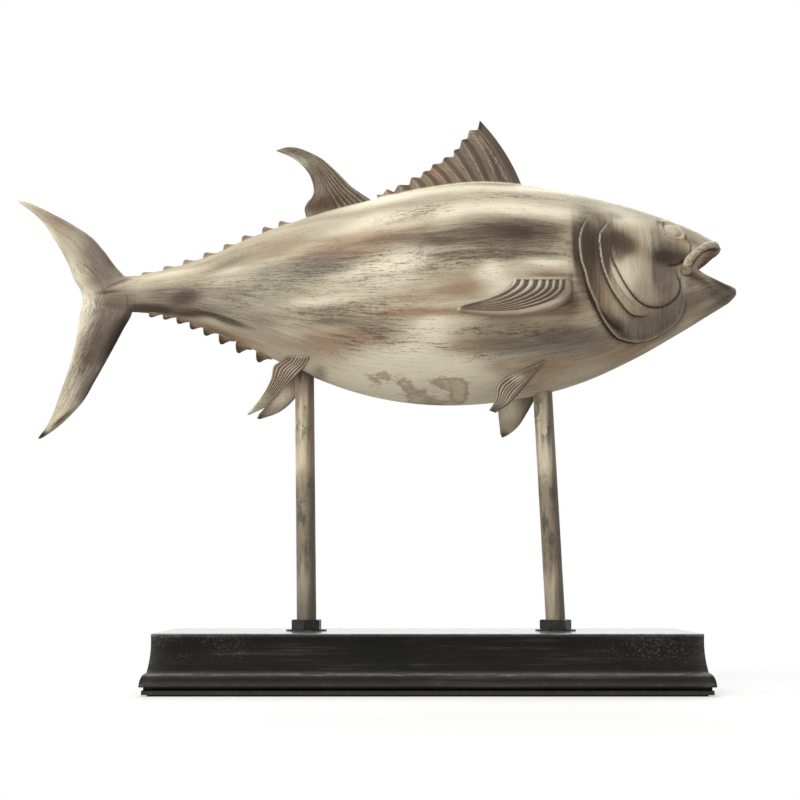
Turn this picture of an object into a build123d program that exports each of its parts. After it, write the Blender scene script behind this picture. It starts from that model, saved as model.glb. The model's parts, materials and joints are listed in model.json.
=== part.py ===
from build123d import *
import math
import os

# A tuna figurine in cast resin on two painted steel posts and a moulded wooden plinth.
# Millimetres. X runs towards the head, Y away from the viewer, Z up.
# The origin is the centre of the plinth's underside, on the table.

# Body casting
body_length = 379.0
body_depth = 142.0
body_width = 84.0
belly_height = 175.6
tail_joint_x = -181.3
wall = 6.0
lens_share = 0.8

# Gaps that glue, threads and loose holes leave on each side
glue_gap = 0.2
fin_gap = 0.3
thread_gap = 0.05
hole_gap = 0.5
overrun = 2.0

# Tail fin casting
tail_span = 152.2
tail_reach = 78.0
tail_root_thickness = 11.0
tail_tip_thickness = 3.2
dowel_diameter = 4.0
dowel_length = 26.0
dowel_spacing = 11.0

# Fins on the back
first_dorsal_length = 95.0
first_dorsal_height = 44.0
first_dorsal_thickness = 6.0
first_dorsal_edge = 2.4
second_dorsal_length = 60.0
second_dorsal_height = 47.0
second_dorsal_thickness = 5.5
second_dorsal_edge = 2.2
root_sink = 8.0

# Paired fins below and at the sides
pectoral_length = 70.7
pectoral_height = 26.0
pectoral_flare = 12.0
pectoral_thickness = 5.4
pelvic_length = 35.0
pelvic_height = 41.0
pelvic_thickness = 4.6
pelvic_edge = 2.2
pelvic_right_root_y = 25.0
pelvic_left_root_y = 15.0
anal_length = 38.0
anal_height = 41.0
anal_thickness = 4.6
anal_edge = 2.2
anal_root_y = 11.0
tab_thickness = 3.0
tab_depth = 3.4
tab_rise = 4.0
peg_diameter = 3.6
peg_depth = 4.5
peg_rise = 2.2

# Finlets behind the fins
finlet_length = 11.0
finlet_thickness = 3.0
upper_finlet_height = 3.4
lower_finlet_height = 6.6
finlet_sink = 3.0

# Mouth, eyes and gill lines
lip_diameter = 5.0
lip_bend = 6.0
eye_length = 12.0
eye_height = 8.0
eye_rise = 1.0
groove_width = 1.8
groove_depth = 1.1

# Posts
post_diameter = 12.0
rear_post_x = -73.6
front_post_x = 79.7
rear_post_lean = 0.9
front_post_lean = 2.6
socket_depth = 12.0
thread_diameter = 10.0
upper_thread_length = 18.0
lower_thread_tail = 1.8
insert_diameter = 14.0
insert_length = 20.0
boss_wall = 5.0
boss_cap = 4.0
end_gap = 0.3

# Nuts and washers
nut_flats = 17.0
nut_height = 6.0
nut_chamfer = 0.9
rear_nut_turn = 25.0
front_nut_turn = 3.0
top_washer_diameter = 25.0
washer_thickness = 0.9
bottom_washer_diameter = 24.0

# Plinth
plinth_length = 323.0
plinth_depth = 100.0
plinth_height = 36.0
cove_out = 2.1
bead_out = 3.9
bead_height = 7.9
cove_hollow = 0.9
edge_round = 0.8
recess_height = 2.0
recess_inset = 2.4
board_inset = 1.8
board_thickness = 2.4
felt_thickness = 1.0
felt_inset = 3.0
counterbore_diameter = 27.0
counterbore_depth = 14.0

# Screws that hold the bottom board
screw_head_diameter = 7.0
screw_diameter = 3.5
screw_length = 15.0
screw_head_height = 2.0
screw_inset_x = 22.0
screw_inset_y = 16.0

# Body stations: low point, high point and width, each as shares of length, depth and width
body_station_shares = (
    ((0.000, 0.416), (0.000, 0.580), 0.190),
    ((0.056, 0.402), (0.056, 0.615), 0.300),
    ((0.122, 0.339), (0.122, 0.672), 0.476),
    ((0.201, 0.239), (0.201, 0.765), 0.679),
    ((0.294, 0.124), (0.294, 0.852), 0.845),
    ((0.386, 0.042), (0.386, 0.919), 0.948),
    ((0.478, 0.004), (0.478, 0.969), 0.990),
    ((0.571, 0.007), (0.571, 0.998), 1.000),
    ((0.663, 0.045), (0.663, 0.980), 0.970),
    ((0.742, 0.106), (0.742, 0.938), 0.900),
    ((0.824, 0.206), (0.819, 0.887), 0.790),
    ((0.893, 0.310), (0.879, 0.833), 0.640),
    ((0.948, 0.399), (0.924, 0.784), 0.480),
    ((0.998, 0.481), (0.967, 0.723), 0.280),
)
hollow_stations = range(2, 12)

# Lines on the head, as shares of body length and depth
gill_line_shares = (
    (0.753, 0.820),
    (0.728, 0.730),
    (0.724, 0.670),
    (0.732, 0.545),
    (0.748, 0.422),
    (0.782, 0.283),
    (0.825, 0.264),
    (0.879, 0.333),
    (0.892, 0.461),
)
cover_line_shares = (
    (0.785, 0.809),
    (0.758, 0.713),
    (0.757, 0.668),
    (0.765, 0.545),
    (0.777, 0.477),
    (0.809, 0.377),
    (0.846, 0.378),
)
cheek_line_shares = (
    (0.779, 0.688),
    (0.778, 0.615),
    (0.802, 0.486),
    (0.835, 0.411),
    (0.874, 0.430),
    (0.890, 0.503),
    (0.879, 0.570),
)
mouth_shares = (
    (0.933, 0.607),
    (0.962, 0.658),
    (0.976, 0.700),
    (1.030, 0.720),
    (1.030, 0.480),
    (0.998, 0.514),
    (0.974, 0.543),
    (0.950, 0.578),
)
lip_corner_share = (0.906, 0.580)
lip_tip_share = (0.961, 0.694)
lip_tip_width_share = 0.190
eye_share = (0.883, 0.758)
eye_tilt = -27.0

# Finlet places: tip along the body and height, shares of body length and of finlet height
upper_finlet_shares = (
    (0.008, 0.45),
    (0.045, 0.60),
    (0.078, 0.75),
    (0.112, 0.85),
    (0.145, 0.90),
    (0.175, 0.95),
    (0.209, 1.00),
    (0.237, 1.00),
)
lower_finlet_shares = (
    (0.022, 0.40),
    (0.046, 0.45),
    (0.069, 0.55),
    (0.091, 0.70),
    (0.114, 0.75),
    (0.140, 0.95),
    (0.169, 1.00),
    (0.202, 0.90),
)

# Tail lobes: level sections as (height, leading edge, trailing edge, thickness) shares
upper_lobe_shares = (
    (0.005, 0.035, 0.451, 0.90),
    (0.064, 0.099, 0.524, 0.80),
    (0.123, 0.199, 0.570, 0.68),
    (0.182, 0.285, 0.631, 0.55),
    (0.241, 0.391, 0.705, 0.42),
    (0.294, 0.545, 0.772, 0.30),
    (0.340, 0.711, 0.860, 0.18),
    (0.376, 0.853, 0.955, 0.08),
    (0.396, 0.966, 1.000, 0.00),
)
lower_lobe_shares = (
    (-0.015, 0.038, 0.456, 0.90),
    (-0.081, 0.050, 0.468, 0.82),
    (-0.147, 0.115, 0.483, 0.74),
    (-0.219, 0.186, 0.505, 0.64),
    (-0.291, 0.259, 0.537, 0.54),
    (-0.370, 0.342, 0.582, 0.43),
    (-0.442, 0.419, 0.629, 0.32),
    (-0.508, 0.528, 0.672, 0.20),
    (-0.557, 0.631, 0.721, 0.10),
    (-0.587, 0.712, 0.763, 0.04),
    (-0.602, 0.759, 0.781, 0.00),
)
hub_shares = (
    (0.17, 0.98, 0.86),
    (0.33, 0.72, 0.55),
    (0.44, 0.30, 0.22),
)

# First dorsal fin: front edge, then the ray tips and the notches between them, towards the rear
first_dorsal_start_share = 0.394
first_dorsal_peg_shares = (0.35, 0.80)
first_dorsal_front_shares = (
    (0.997, 0.040),
    (0.969, 0.100),
    (0.916, 0.330),
    (0.848, 0.573),
    (0.780, 0.800),
    (0.733, 0.945),
    (0.705, 0.991),
)
first_dorsal_scallop_shares = (
    (0.669, 0.834),
    (0.633, 0.832),
    (0.612, 0.714),
    (0.578, 0.691),
    (0.565, 0.573),
    (0.531, 0.545),
    (0.525, 0.452),
    (0.468, 0.439),
    (0.445, 0.357),
    (0.389, 0.334),
    (0.371, 0.252),
    (0.325, 0.225),
    (0.304, 0.139),
    (0.243, 0.139),
    (0.228, 0.032),
    (0.182, -0.050),
    (0.156, 0.027),
    (0.125, -0.075),
    (0.079, -0.034),
    (0.050, -0.110),
    (0.001, -0.143),
)

# Second dorsal fin: front edge up to the tip, then the rear edge down to the back
second_dorsal_start_share = 0.228
second_dorsal_peg_shares = (0.48, 0.80)
second_dorsal_front_shares = (
    (1.000, 0.272),
    (0.805, 0.449),
    (0.641, 0.662),
    (0.478, 0.847),
    (0.260, 0.981),
    (0.120, 1.004),
    (0.000, 0.960),
)
second_dorsal_rear_shares = (
    (0.000, 0.950),
    (0.153, 0.868),
    (0.262, 0.762),
    (0.339, 0.647),
    (0.382, 0.521),
    (0.398, 0.394),
    (0.373, 0.294),
    (0.309, 0.190),
    (0.305, 0.050),
)

# Side fins: sections from the root's front to the tip, each a lower point, an upper point and a
# thickness. Points are shares (along, up, outwards from the flank) of the fin's length, height and
# flare. The blade's root lies in a pocket in the flank.
pectoral_corner_share = (0.524, 0.330)
pectoral_flank_share = 0.800
pectoral_shares = (
    ((0.993, 0.600, 0.30), (0.993, 0.900, -0.30), 0.85),
    ((0.930, 0.400, 0.65), (0.930, 0.938, -0.30), 1.00),
    ((0.830, 0.238, 0.85), (0.830, 0.958, -0.30), 1.00),
    ((0.689, 0.096, 1.00), (0.689, 0.942, -0.30), 1.00),
    ((0.562, 0.031, 1.00), (0.562, 0.904, -0.20), 0.95),
    ((0.462, 0.012, 1.00), (0.462, 0.704, 0.05), 0.90),
    ((0.349, 0.015, 0.98), (0.349, 0.531, 0.25), 0.82),
    ((0.208, 0.054, 0.90), (0.208, 0.396, 0.40), 0.70),
    ((0.095, 0.104, 0.80), (0.095, 0.304, 0.50), 0.55),
    ((0.010, 0.160, 0.66), (0.010, 0.230, 0.58), 0.35),
)

# Hanging fins: the front edge from the root to the tip and the rear edge back up, as shares of the
# fin's length and height, and the outward lean of the blade
pelvic_corner_share = (0.577, -0.130)
pelvic_right_lean = 30.0
pelvic_right_front_shares = (
    (1.060, 1.080),
    (0.931, 0.949),
    (0.783, 0.802),
    (0.646, 0.656),
    (0.474, 0.485),
    (0.311, 0.363),
    (0.130, 0.262),
)
pelvic_right_rear_shares = (
    (0.014, 0.262),
    (0.074, 0.363),
    (0.134, 0.485),
    (0.177, 0.656),
    (0.331, 0.802),
    (0.480, 1.080),
)
pelvic_left_lean = 14.0
pelvic_left_front_shares = (
    (1.030, 1.080),
    (0.989, 0.720),
    (0.903, 0.559),
    (0.774, 0.363),
    (0.646, 0.193),
    (0.489, 0.071),
    (0.383, 0.005),
)
pelvic_left_rear_shares = (
    (0.314, 0.005),
    (0.303, 0.071),
    (0.286, 0.193),
    (0.263, 0.363),
    (0.246, 0.559),
    (0.250, 1.080),
)
anal_corner_share = (0.186, -0.055)
anal_lean = 9.0
anal_right_front_shares = (
    (1.008, 1.050),
    (0.982, 0.785),
    (0.811, 0.615),
    (0.639, 0.444),
    (0.495, 0.273),
    (0.324, 0.127),
    (0.126, 0.017),
)
anal_right_rear_shares = (
    (0.034, 0.017),
    (0.126, 0.127),
    (0.237, 0.273),
    (0.350, 0.444),
    (0.405, 0.615),
    (0.455, 0.785),
    (0.468, 1.150),
)
anal_left_front_shares = (
    (0.968, 1.050),
    (0.916, 0.688),
    (0.837, 0.493),
    (0.732, 0.334),
    (0.587, 0.200),
    (0.416, 0.102),
    (0.205, 0.029),
)
anal_left_rear_shares = (
    (0.074, 0.029),
    (0.139, 0.102),
    (0.232, 0.200),
    (0.350, 0.334),
    (0.468, 0.493),
    (0.508, 0.688),
    (0.521, 1.150),
)
tab_shares = (0.20, 0.80)

RIGHT = -1
LEFT = 1
nodes = {}


def body_point(share):
    """Turn shares of body length and depth into X and Z on the middle plane."""
    return Vector(tail_joint_x + share[0] * body_length, 0, belly_height + share[1] * body_depth)


def between(x, places):
    """Read a height at x from a line of (x, height) places that run towards the head."""
    for (x0, z0), (x1, z1) in zip(places, places[1:]):
        if x <= x1:
            return z0 + (z1 - z0) * (x - x0) / (x1 - x0)
    return places[-1][1]


body_lows = [body_point(low) for low, high, width in body_station_shares]
body_highs = [body_point(high) for low, high, width in body_station_shares]
body_half_widths = [width * body_width / 2 for low, high, width in body_station_shares]


def belly_z(x):
    """Height of the belly line at x."""
    return between(x, [(low.X, low.Z) for low in body_lows])


def back_z(x):
    """Height of the back line at x."""
    return between(x, [(high.X, high.Z) for high in body_highs])


def flank_y(x, z):
    """Half width of the body at x and z, from the ellipse that the section there is."""
    middles = [(low.X + high.X) / 2 for low, high in zip(body_lows, body_highs)]
    half_width = between(x, list(zip(middles, body_half_widths)))
    half_depth = (back_z(x) - belly_z(x)) / 2
    rise = (z - belly_z(x)) / half_depth - 1
    return half_width * math.sqrt(max(1 - rise * rise, 0))


def under_z(x, y):
    """Height of the body's underside at x and y, from the same ellipse."""
    middles = [(low.X + high.X) / 2 for low, high in zip(body_lows, body_highs)]
    half_width = between(x, list(zip(middles, body_half_widths)))
    half_depth = (back_z(x) - belly_z(x)) / 2
    reach = min(y / half_width, 1)
    return belly_z(x) + half_depth * (1 - math.sqrt(1 - reach * reach))


def lens_loft(lows, highs, halves, grow=0.0, normal=None):
    """Loft ellipses whose long axes run from each low point to its high point."""
    centres = [(low + high) / 2 for low, high in zip(lows, highs)]
    last = len(centres) - 1
    sections = []
    for i, centre in enumerate(centres):
        chord = highs[i] - lows[i]
        travel = centres[min(i + 1, last)] - centres[max(i - 1, 0)]
        along = chord.normalized()
        facing = normal if normal else travel - along * travel.dot(along)
        plane = Plane(origin=centre, x_dir=along, z_dir=facing)
        long_half = chord.length / 2
        short_half = min(halves[i], long_half * lens_share)
        sections.append(plane * Ellipse(long_half + grow, short_half + grow))
    return loft(sections)


def body_form(grow=0.0):
    """The smooth outer form of the fish, larger by grow all round."""
    return lens_loft(body_lows, body_highs, body_half_widths, grow)


def cylinder_between(start, end, radius):
    """A cylinder whose axis runs from start to end."""
    axis = end - start
    plane = Plane(origin=start, z_dir=axis)
    return extrude(plane * Circle(radius), axis.length)


def back_peg(x, surface):
    """A round peg under a fin on the back, and the socket that takes it."""
    top = Vector(x, 0, surface + peg_rise)
    peg = cylinder_between(Vector(x, 0, surface - peg_depth), top, peg_diameter / 2)
    socket_end = Vector(x, 0, surface - peg_depth - glue_gap)
    socket = cylinder_between(socket_end, top, peg_diameter / 2 + glue_gap)
    return peg, socket


skin = body_form()
seat = body_form(glue_gap)
sockets = []

# Plinth: the moulding's section cut along both sides and kept where the two meet
board_top = felt_thickness + board_thickness
bead_bottom = board_top + recess_height
bead_top = bead_bottom + bead_height


def moulding(half, depth):
    """Extrude the plinth's section, with its half width at the top, over the given depth."""
    foot = half + cove_out
    bead = foot + bead_out
    recess = bead - recess_inset
    mid_z = (plinth_height + bead_top) / 2
    right = [
        Line((0, board_top), (recess, board_top)),
        Line((recess, board_top), (recess, bead_bottom)),
        Line((recess, bead_bottom), (bead, bead_bottom)),
        EllipticalCenterArc((foot, bead_bottom), bead_out, bead_height, start_angle=0, arc_size=90),
        ThreePointArc(
            (foot, bead_top),
            (half + cove_out / 2 - cove_hollow, mid_z),
            (half, plinth_height - edge_round),
        ),
        Line((half, plinth_height - edge_round), (half - edge_round, plinth_height)),
        Line((half - edge_round, plinth_height), (0, plinth_height)),
        Line((0, plinth_height), (0, board_top)),
    ]
    half_section = Plane.XZ * make_face(right)
    half_form = extrude(half_section, depth / 2 + cove_out + bead_out + overrun, both=True)
    return half_form + mirror(half_form, about=Plane.YZ)


def plate(length, depth, bottom, height):
    """A flat rectangular sheet centred on the origin, from bottom up."""
    return Pos(0, 0, bottom + height / 2) * Box(length, depth, height)


outer_length = plinth_length + 2 * (cove_out + bead_out)
outer_depth = plinth_depth + 2 * (cove_out + bead_out)
board_length = outer_length - 2 * board_inset
board_depth = outer_depth - 2 * board_inset
long_form = moulding(plinth_length / 2, plinth_depth)
cross_form = Rot(0, 0, 90) * moulding(plinth_depth / 2, plinth_length)
plinth = long_form & cross_form
shelf_z = board_top + counterbore_depth
hole_radius = thread_diameter / 2 + hole_gap
for x in (rear_post_x, front_post_x):
    plinth -= Pos(x, 0, plinth_height / 2) * Cylinder(hole_radius, plinth_height + 2 * overrun)
    bore_height = counterbore_depth + overrun
    plinth -= Pos(x, 0, shelf_z - bore_height / 2) * Cylinder(counterbore_diameter / 2, bore_height)

# Bottom board, its screws and the felt that hides them
screw_places = [
    (sx * (board_length / 2 - screw_inset_x), sy * (board_depth / 2 - screw_inset_y))
    for sx in (-1, 1)
    for sy in (-1, 1)
]


def screw(radius_gap=0.0):
    """A countersunk screw, head down, with its head's face at the board's underside."""
    neck = screw_diameter / 2 + radius_gap
    head = Cone(screw_head_diameter / 2 + radius_gap, neck, screw_head_height)
    head = Pos(0, 0, felt_thickness + screw_head_height / 2) * head
    shank = Pos(0, 0, felt_thickness + screw_length / 2) * Cylinder(neck, screw_length)
    return head + shank


board = plate(board_length, board_depth, felt_thickness, board_thickness)
screws = []
for x, y in screw_places:
    hole = Pos(x, y, 0) * screw(thread_gap)
    board -= hole
    plinth -= hole
    screws.append(Pos(x, y, 0) * screw())
nodes["plinth_block"] = plinth
nodes["bottom_board"] = board
nodes["board_screws"] = Compound(children=[piece.solid() for piece in screws])
felt_length = board_length - 2 * felt_inset
felt_depth = board_depth - 2 * felt_inset
nodes["felt_sheet"] = plate(felt_length, felt_depth, 0, felt_thickness)


# Nuts and washers above and below the plinth
def nut(x, bottom, turn):
    """A thin hexagon nut with both rims chamfered."""
    corner = nut_flats / math.sqrt(3)
    hexagon = extrude(RegularPolygon(corner, 6), nut_height)
    crown = Pos(0, 0, nut_height / 2) * Cylinder(corner, nut_height)
    rims = crown.edges().filter_by(GeomType.CIRCLE)
    crown = chamfer(rims, length=nut_chamfer / 2, length2=nut_chamfer)
    blank = hexagon & crown
    blank -= Pos(0, 0, nut_height / 2) * Cylinder(thread_diameter / 2 + thread_gap, nut_height + overrun)
    return Pos(x, 0, bottom) * Rot(0, 0, turn) * blank


def washer(x, bottom, diameter):
    """A flat washer, loose on the thread."""
    ring = Cylinder(diameter / 2, washer_thickness)
    ring -= Cylinder(hole_radius, washer_thickness + overrun)
    return Pos(x, 0, bottom + washer_thickness / 2) * ring


post_seat_z = plinth_height + washer_thickness + nut_height
lower_nut_z = shelf_z - washer_thickness - nut_height
post_bottom_z = lower_nut_z - lower_thread_tail


def post_axis(foot_x, lean):
    """The post's tilted axis, from its shoulder on the nut."""
    return Location((foot_x, 0, post_seat_z), (0, -lean, 0))


def post_length(foot_x, lean):
    """Shoulder to rod end, so that the rod stands in its socket at the belly line."""
    slope = math.tan(math.radians(lean))
    top_x = foot_x - slope * (belly_z(foot_x) - post_seat_z)
    return (belly_z(top_x) + socket_depth - post_seat_z) / math.cos(math.radians(lean))


def on_axis(axis, start, length, radius):
    """A cylinder on a post's axis, from start up."""
    return axis * Pos(0, 0, start + length / 2) * Cylinder(radius, length)


bosses = []
for name, foot_x, lean, turn in (
    ("rear", rear_post_x, rear_post_lean, rear_nut_turn),
    ("front", front_post_x, front_post_lean, front_nut_turn),
):
    axis = post_axis(foot_x, lean)
    length = post_length(foot_x, lean)
    radius = post_diameter / 2
    rod = on_axis(axis, -overrun, length + overrun, radius)
    rod -= Pos(foot_x, 0, post_seat_z - post_diameter / 2) * Box(
        2 * post_diameter, 2 * post_diameter, post_diameter
    )
    lower_length = post_seat_z + overrun - post_bottom_z
    lower_thread = Pos(foot_x, 0, post_bottom_z + lower_length / 2) * Cylinder(
        thread_diameter / 2, lower_length
    )
    upper_thread = on_axis(axis, length - overrun, upper_thread_length + overrun, thread_diameter / 2)
    nodes[name + "_post"] = rod + lower_thread + upper_thread

    sleeve_start = length + end_gap
    sleeve = on_axis(axis, sleeve_start, insert_length, insert_diameter / 2)
    sleeve -= on_axis(
        axis, sleeve_start - overrun, insert_length + 2 * overrun, thread_diameter / 2 + thread_gap
    )
    nodes[name + "_post_insert"] = sleeve

    boss_radius = insert_diameter / 2 + boss_wall
    boss_bottom = length - socket_depth - 2 * boss_radius
    boss_top = sleeve_start + insert_length + boss_cap
    bosses.append(on_axis(axis, boss_bottom, boss_top - boss_bottom, boss_radius))
    sockets.append(on_axis(axis, boss_bottom, sleeve_start - boss_bottom, radius + glue_gap))
    sockets.append(on_axis(axis, length - overrun, end_gap + overrun, insert_diameter / 2 + glue_gap))
    sockets.append(on_axis(axis, sleeve_start, insert_length + glue_gap, insert_diameter / 2 + glue_gap))

    nodes[name + "_top_nut"] = nut(foot_x, plinth_height + washer_thickness, turn)
    nodes[name + "_top_washer"] = washer(foot_x, plinth_height, top_washer_diameter)
    nodes[name + "_bottom_nut"] = nut(foot_x, lower_nut_z, turn)
    nodes[name + "_bottom_washer"] = washer(foot_x, shelf_z - washer_thickness, bottom_washer_diameter)

# Tail fin: a hub that carries on the body's end, and two lofted lobes
peduncle_low = body_lows[0]
peduncle_high = body_highs[0]
peduncle = (peduncle_low + peduncle_high) / 2
peduncle_half = (peduncle_high - peduncle_low).length / 2


def tail_point(share):
    """Turn shares of tail reach and span into a point on the middle plane."""
    return peduncle + Vector(-share[0] * tail_reach, 0, share[1] * tail_span)


def tail_lobe(rows):
    """Loft one crescent lobe through its level sections."""
    leads = [tail_point((lead, height)) for height, lead, trail, share in rows]
    trails = [tail_point((trail, height)) for height, lead, trail, share in rows]
    spread = tail_root_thickness - tail_tip_thickness
    halves = [(tail_tip_thickness + share * spread) / 2 for height, lead, trail, share in rows]
    return lens_loft(trails, leads, halves, normal=Vector(0, 0, 1))


hub_xs = [glue_gap] + [share * tail_reach for share, height, width in hub_shares]
hub_halves = [peduncle_half] + [height * peduncle_half for share, height, width in hub_shares]
hub_widths = [body_half_widths[0]] + [width * body_half_widths[0] for share, height, width in hub_shares]
hub_lows = [peduncle + Vector(-x, 0, -half) for x, half in zip(hub_xs, hub_halves)]
hub_highs = [peduncle + Vector(-x, 0, half) for x, half in zip(hub_xs, hub_halves)]
tail = lens_loft(hub_lows, hub_highs, hub_widths)
tail += tail_lobe(upper_lobe_shares)
tail += tail_lobe(lower_lobe_shares)
dowels = []
for side in (-1, 1):
    centre = peduncle + Vector(0, 0, side * dowel_spacing / 2)
    half = Vector(dowel_length / 2, 0, 0)
    gap = Vector(glue_gap, 0, 0)
    dowels.append(cylinder_between(centre - half, centre + half, dowel_diameter / 2))
    bore = cylinder_between(centre - half - gap, centre + half + gap, dowel_diameter / 2 + glue_gap)
    tail -= bore
    sockets.append(bore)
nodes["tail_fin"] = tail
nodes["tail_dowels"] = Compound(children=[piece.solid() for piece in dowels])


# Flat fins: an outline made a plate, and thinned from its root to its edge
def tapered(outline, start_x, end_x, root_z, edge_z, thickness, edge):
    """Extrude an outline both ways and cut it with a wedge, thickness wide at root_z, edge at edge_z."""
    blank = extrude(outline, thickness, both=True)
    wedge_face = Plane.YZ * make_face(
        Polyline(
            (-thickness / 2, root_z),
            (thickness / 2, root_z),
            (edge / 2, edge_z),
            (-edge / 2, edge_z),
            close=True,
        )
    )
    wedge = Pos(start_x - overrun, 0, 0) * extrude(wedge_face, end_x - start_x + 2 * overrun)
    return blank & wedge


def back_fin(outline, start_x, length, base_z, height, thickness, edge, peg_shares):
    """A tapered fin on the back, cut to the back's surface and pegged into it."""
    low = base_z - root_sink
    high = base_z + height + overrun
    fin = tapered(outline, start_x, start_x + length, low, high, thickness, edge) - seat
    for share in peg_shares:
        x = start_x + share * length
        peg, socket = back_peg(x, back_z(x))
        fin += peg
        sockets.append(socket)
    return fin


def outline_points(shares, start_x, length, base_z, height):
    """Turn shares of a fin's length and height into points on the middle plane."""
    return [(start_x + sx * length, 0, base_z + sz * height) for sx, sz in shares]


first_x = tail_joint_x + first_dorsal_start_share * body_length
first_end = first_x + first_dorsal_length
first_z = back_z(first_end)
front = outline_points(first_dorsal_front_shares, first_x, first_dorsal_length, first_z, first_dorsal_height)
scallops = outline_points(
    first_dorsal_scallop_shares, first_x, first_dorsal_length, first_z, first_dorsal_height
)
rear_corner = (first_x, 0, back_z(first_x) - root_sink)
front_corner = (first_end, 0, first_z - root_sink)
first_outline = make_face(Spline(*front) + Polyline(front[-1], *scallops, rear_corner, front_corner, front[0]))
nodes["first_dorsal_fin"] = back_fin(
    first_outline,
    first_x,
    first_dorsal_length,
    first_z,
    first_dorsal_height,
    first_dorsal_thickness,
    first_dorsal_edge,
    first_dorsal_peg_shares,
)

second_x = tail_joint_x + second_dorsal_start_share * body_length
second_end = second_x + second_dorsal_length
second_z = back_z(second_x + second_dorsal_rear_shares[-1][0] * second_dorsal_length)
front = outline_points(
    second_dorsal_front_shares, second_x, second_dorsal_length, second_z, second_dorsal_height
)
rear = outline_points(
    second_dorsal_rear_shares, second_x, second_dorsal_length, second_z, second_dorsal_height
)
rear_corner = (rear[-1][0], 0, back_z(rear[-1][0]) - root_sink)
front_corner = (second_end, 0, back_z(second_end) - root_sink)
second_outline = make_face(
    Spline(*front)
    + Line(front[-1], rear[0])
    + Spline(*rear)
    + Polyline(rear[-1], rear_corner, front_corner, front[0])
)
nodes["second_dorsal_fin"] = back_fin(
    second_outline,
    second_x,
    second_dorsal_length,
    second_z,
    second_dorsal_height,
    second_dorsal_thickness,
    second_dorsal_edge,
    second_dorsal_peg_shares,
)


# Side and hanging fins: lofted blades whose roots lie in pockets in the flank
def pocketed(lows, highs, halves, normal):
    """Loft a blade, and cut the body's pocket for it with room for glue."""
    sockets.append(lens_loft(lows, highs, halves, fin_gap, normal))
    return lens_loft(lows, highs, halves, 0.0, normal)


def side_fin(side):
    """A pectoral fin, from sections that stand across the body's length."""
    corner = body_point(pectoral_corner_share)
    flank_z = corner.Z + pectoral_flank_share * pectoral_height

    def place(share):
        x = corner.X + share[0] * pectoral_length
        y = flank_y(x, flank_z) + share[2] * pectoral_flare
        return Vector(x, side * y, corner.Z + share[1] * pectoral_height)

    lows = [place(low) for low, high, share in pectoral_shares]
    highs = [place(high) for low, high, share in pectoral_shares]
    halves = [share * pectoral_thickness / 2 for low, high, share in pectoral_shares]
    return pocketed(lows, highs, halves, Vector(1, 0, 0))


def hanging_fin(front_shares, rear_shares, corner_share, root_y, lean, length, height, sizes, side):
    """A leaning plate below the belly, with a tab in a slot; sizes are its root and edge thicknesses."""
    thickness, edge = sizes
    corner = body_point(corner_share)
    root_x = corner.X + (front_shares[1][0] + rear_shares[-2][0]) * length / 2
    root_z = under_z(root_x, root_y)
    stretch = 1 / math.cos(math.radians(lean))

    def place(share):
        z = (corner.Z + share[1] * height - root_z) * stretch
        return (corner.X + share[0] * length - root_x, 0, z)

    front = [place(share) for share in front_shares]
    rear = [place(share) for share in rear_shares]
    outline = make_face(
        Spline(*front) + Line(front[-1], rear[0]) + Spline(*rear) + Line(rear[-1], front[0])
    )
    xs = [point[0] for point in front + rear]
    tip_z = front[-1][2] - overrun
    blade = tapered(outline, min(xs), max(xs), root_sink, tip_z, thickness, edge)
    spot = Pos(root_x, side * root_y, root_z) * Rot(side * lean, 0, 0)

    foot_rear, foot_front = rear[-2][0], front[1][0]
    tab_ends = [foot_rear + share * (foot_front - foot_rear) for share in tab_shares]

    def tab(gap):
        """A plate along the belly line, from inside the blade to tab_depth within the wall."""
        x0 = tab_ends[0] - gap
        x1 = tab_ends[1] + gap
        z0 = under_z(root_x + x0, root_y) - root_z
        z1 = under_z(root_x + x1, root_y) - root_z
        above = tab_depth + gap
        face = Polyline(
            (x0, 0, z0 - tab_rise),
            (x1, 0, z1 - tab_rise),
            (x1, 0, z1 + above),
            (x0, 0, z0 + above),
            close=True,
        )
        return spot * extrude(make_face(face), tab_thickness / 2 + gap, both=True)

    sockets.append(tab(fin_gap))
    return (spot * blade - seat) + tab(0)


for name, side, pelvic_front, pelvic_rear, pelvic_y, pelvic_lean, anal_front, anal_rear in (
    (
        "right",
        RIGHT,
        pelvic_right_front_shares,
        pelvic_right_rear_shares,
        pelvic_right_root_y,
        pelvic_right_lean,
        anal_right_front_shares,
        anal_right_rear_shares,
    ),
    (
        "left",
        LEFT,
        pelvic_left_front_shares,
        pelvic_left_rear_shares,
        pelvic_left_root_y,
        pelvic_left_lean,
        anal_left_front_shares,
        anal_left_rear_shares,
    ),
):
    nodes["pectoral_fin_" + name] = side_fin(side)
    nodes["pelvic_fin_" + name] = hanging_fin(
        pelvic_front,
        pelvic_rear,
        pelvic_corner_share,
        pelvic_y,
        pelvic_lean,
        pelvic_length,
        pelvic_height,
        (pelvic_thickness, pelvic_edge),
        side,
    )
    nodes["anal_fin_" + name] = hanging_fin(
        anal_front,
        anal_rear,
        anal_corner_share,
        anal_root_y,
        anal_lean,
        anal_length,
        anal_height,
        (anal_thickness, anal_edge),
        side,
    )


# Body: the form, hollowed, with bosses, finlets, lip, eyes, gill lines, mouth and sockets
def finlet(x, surface, rise):
    """A small hooked tooth on the middle plane; rise is negative under the tail."""
    sink = -math.copysign(finlet_sink, rise)
    profile = Polyline(
        (x - finlet_length / 4, 0, surface + sink),
        (x, 0, surface + rise),
        (x + finlet_length / 4, 0, surface + rise / 2),
        (x + finlet_length, 0, surface + sink),
        close=True,
    )
    return extrude(make_face(profile), finlet_thickness / 2, both=True)


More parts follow.
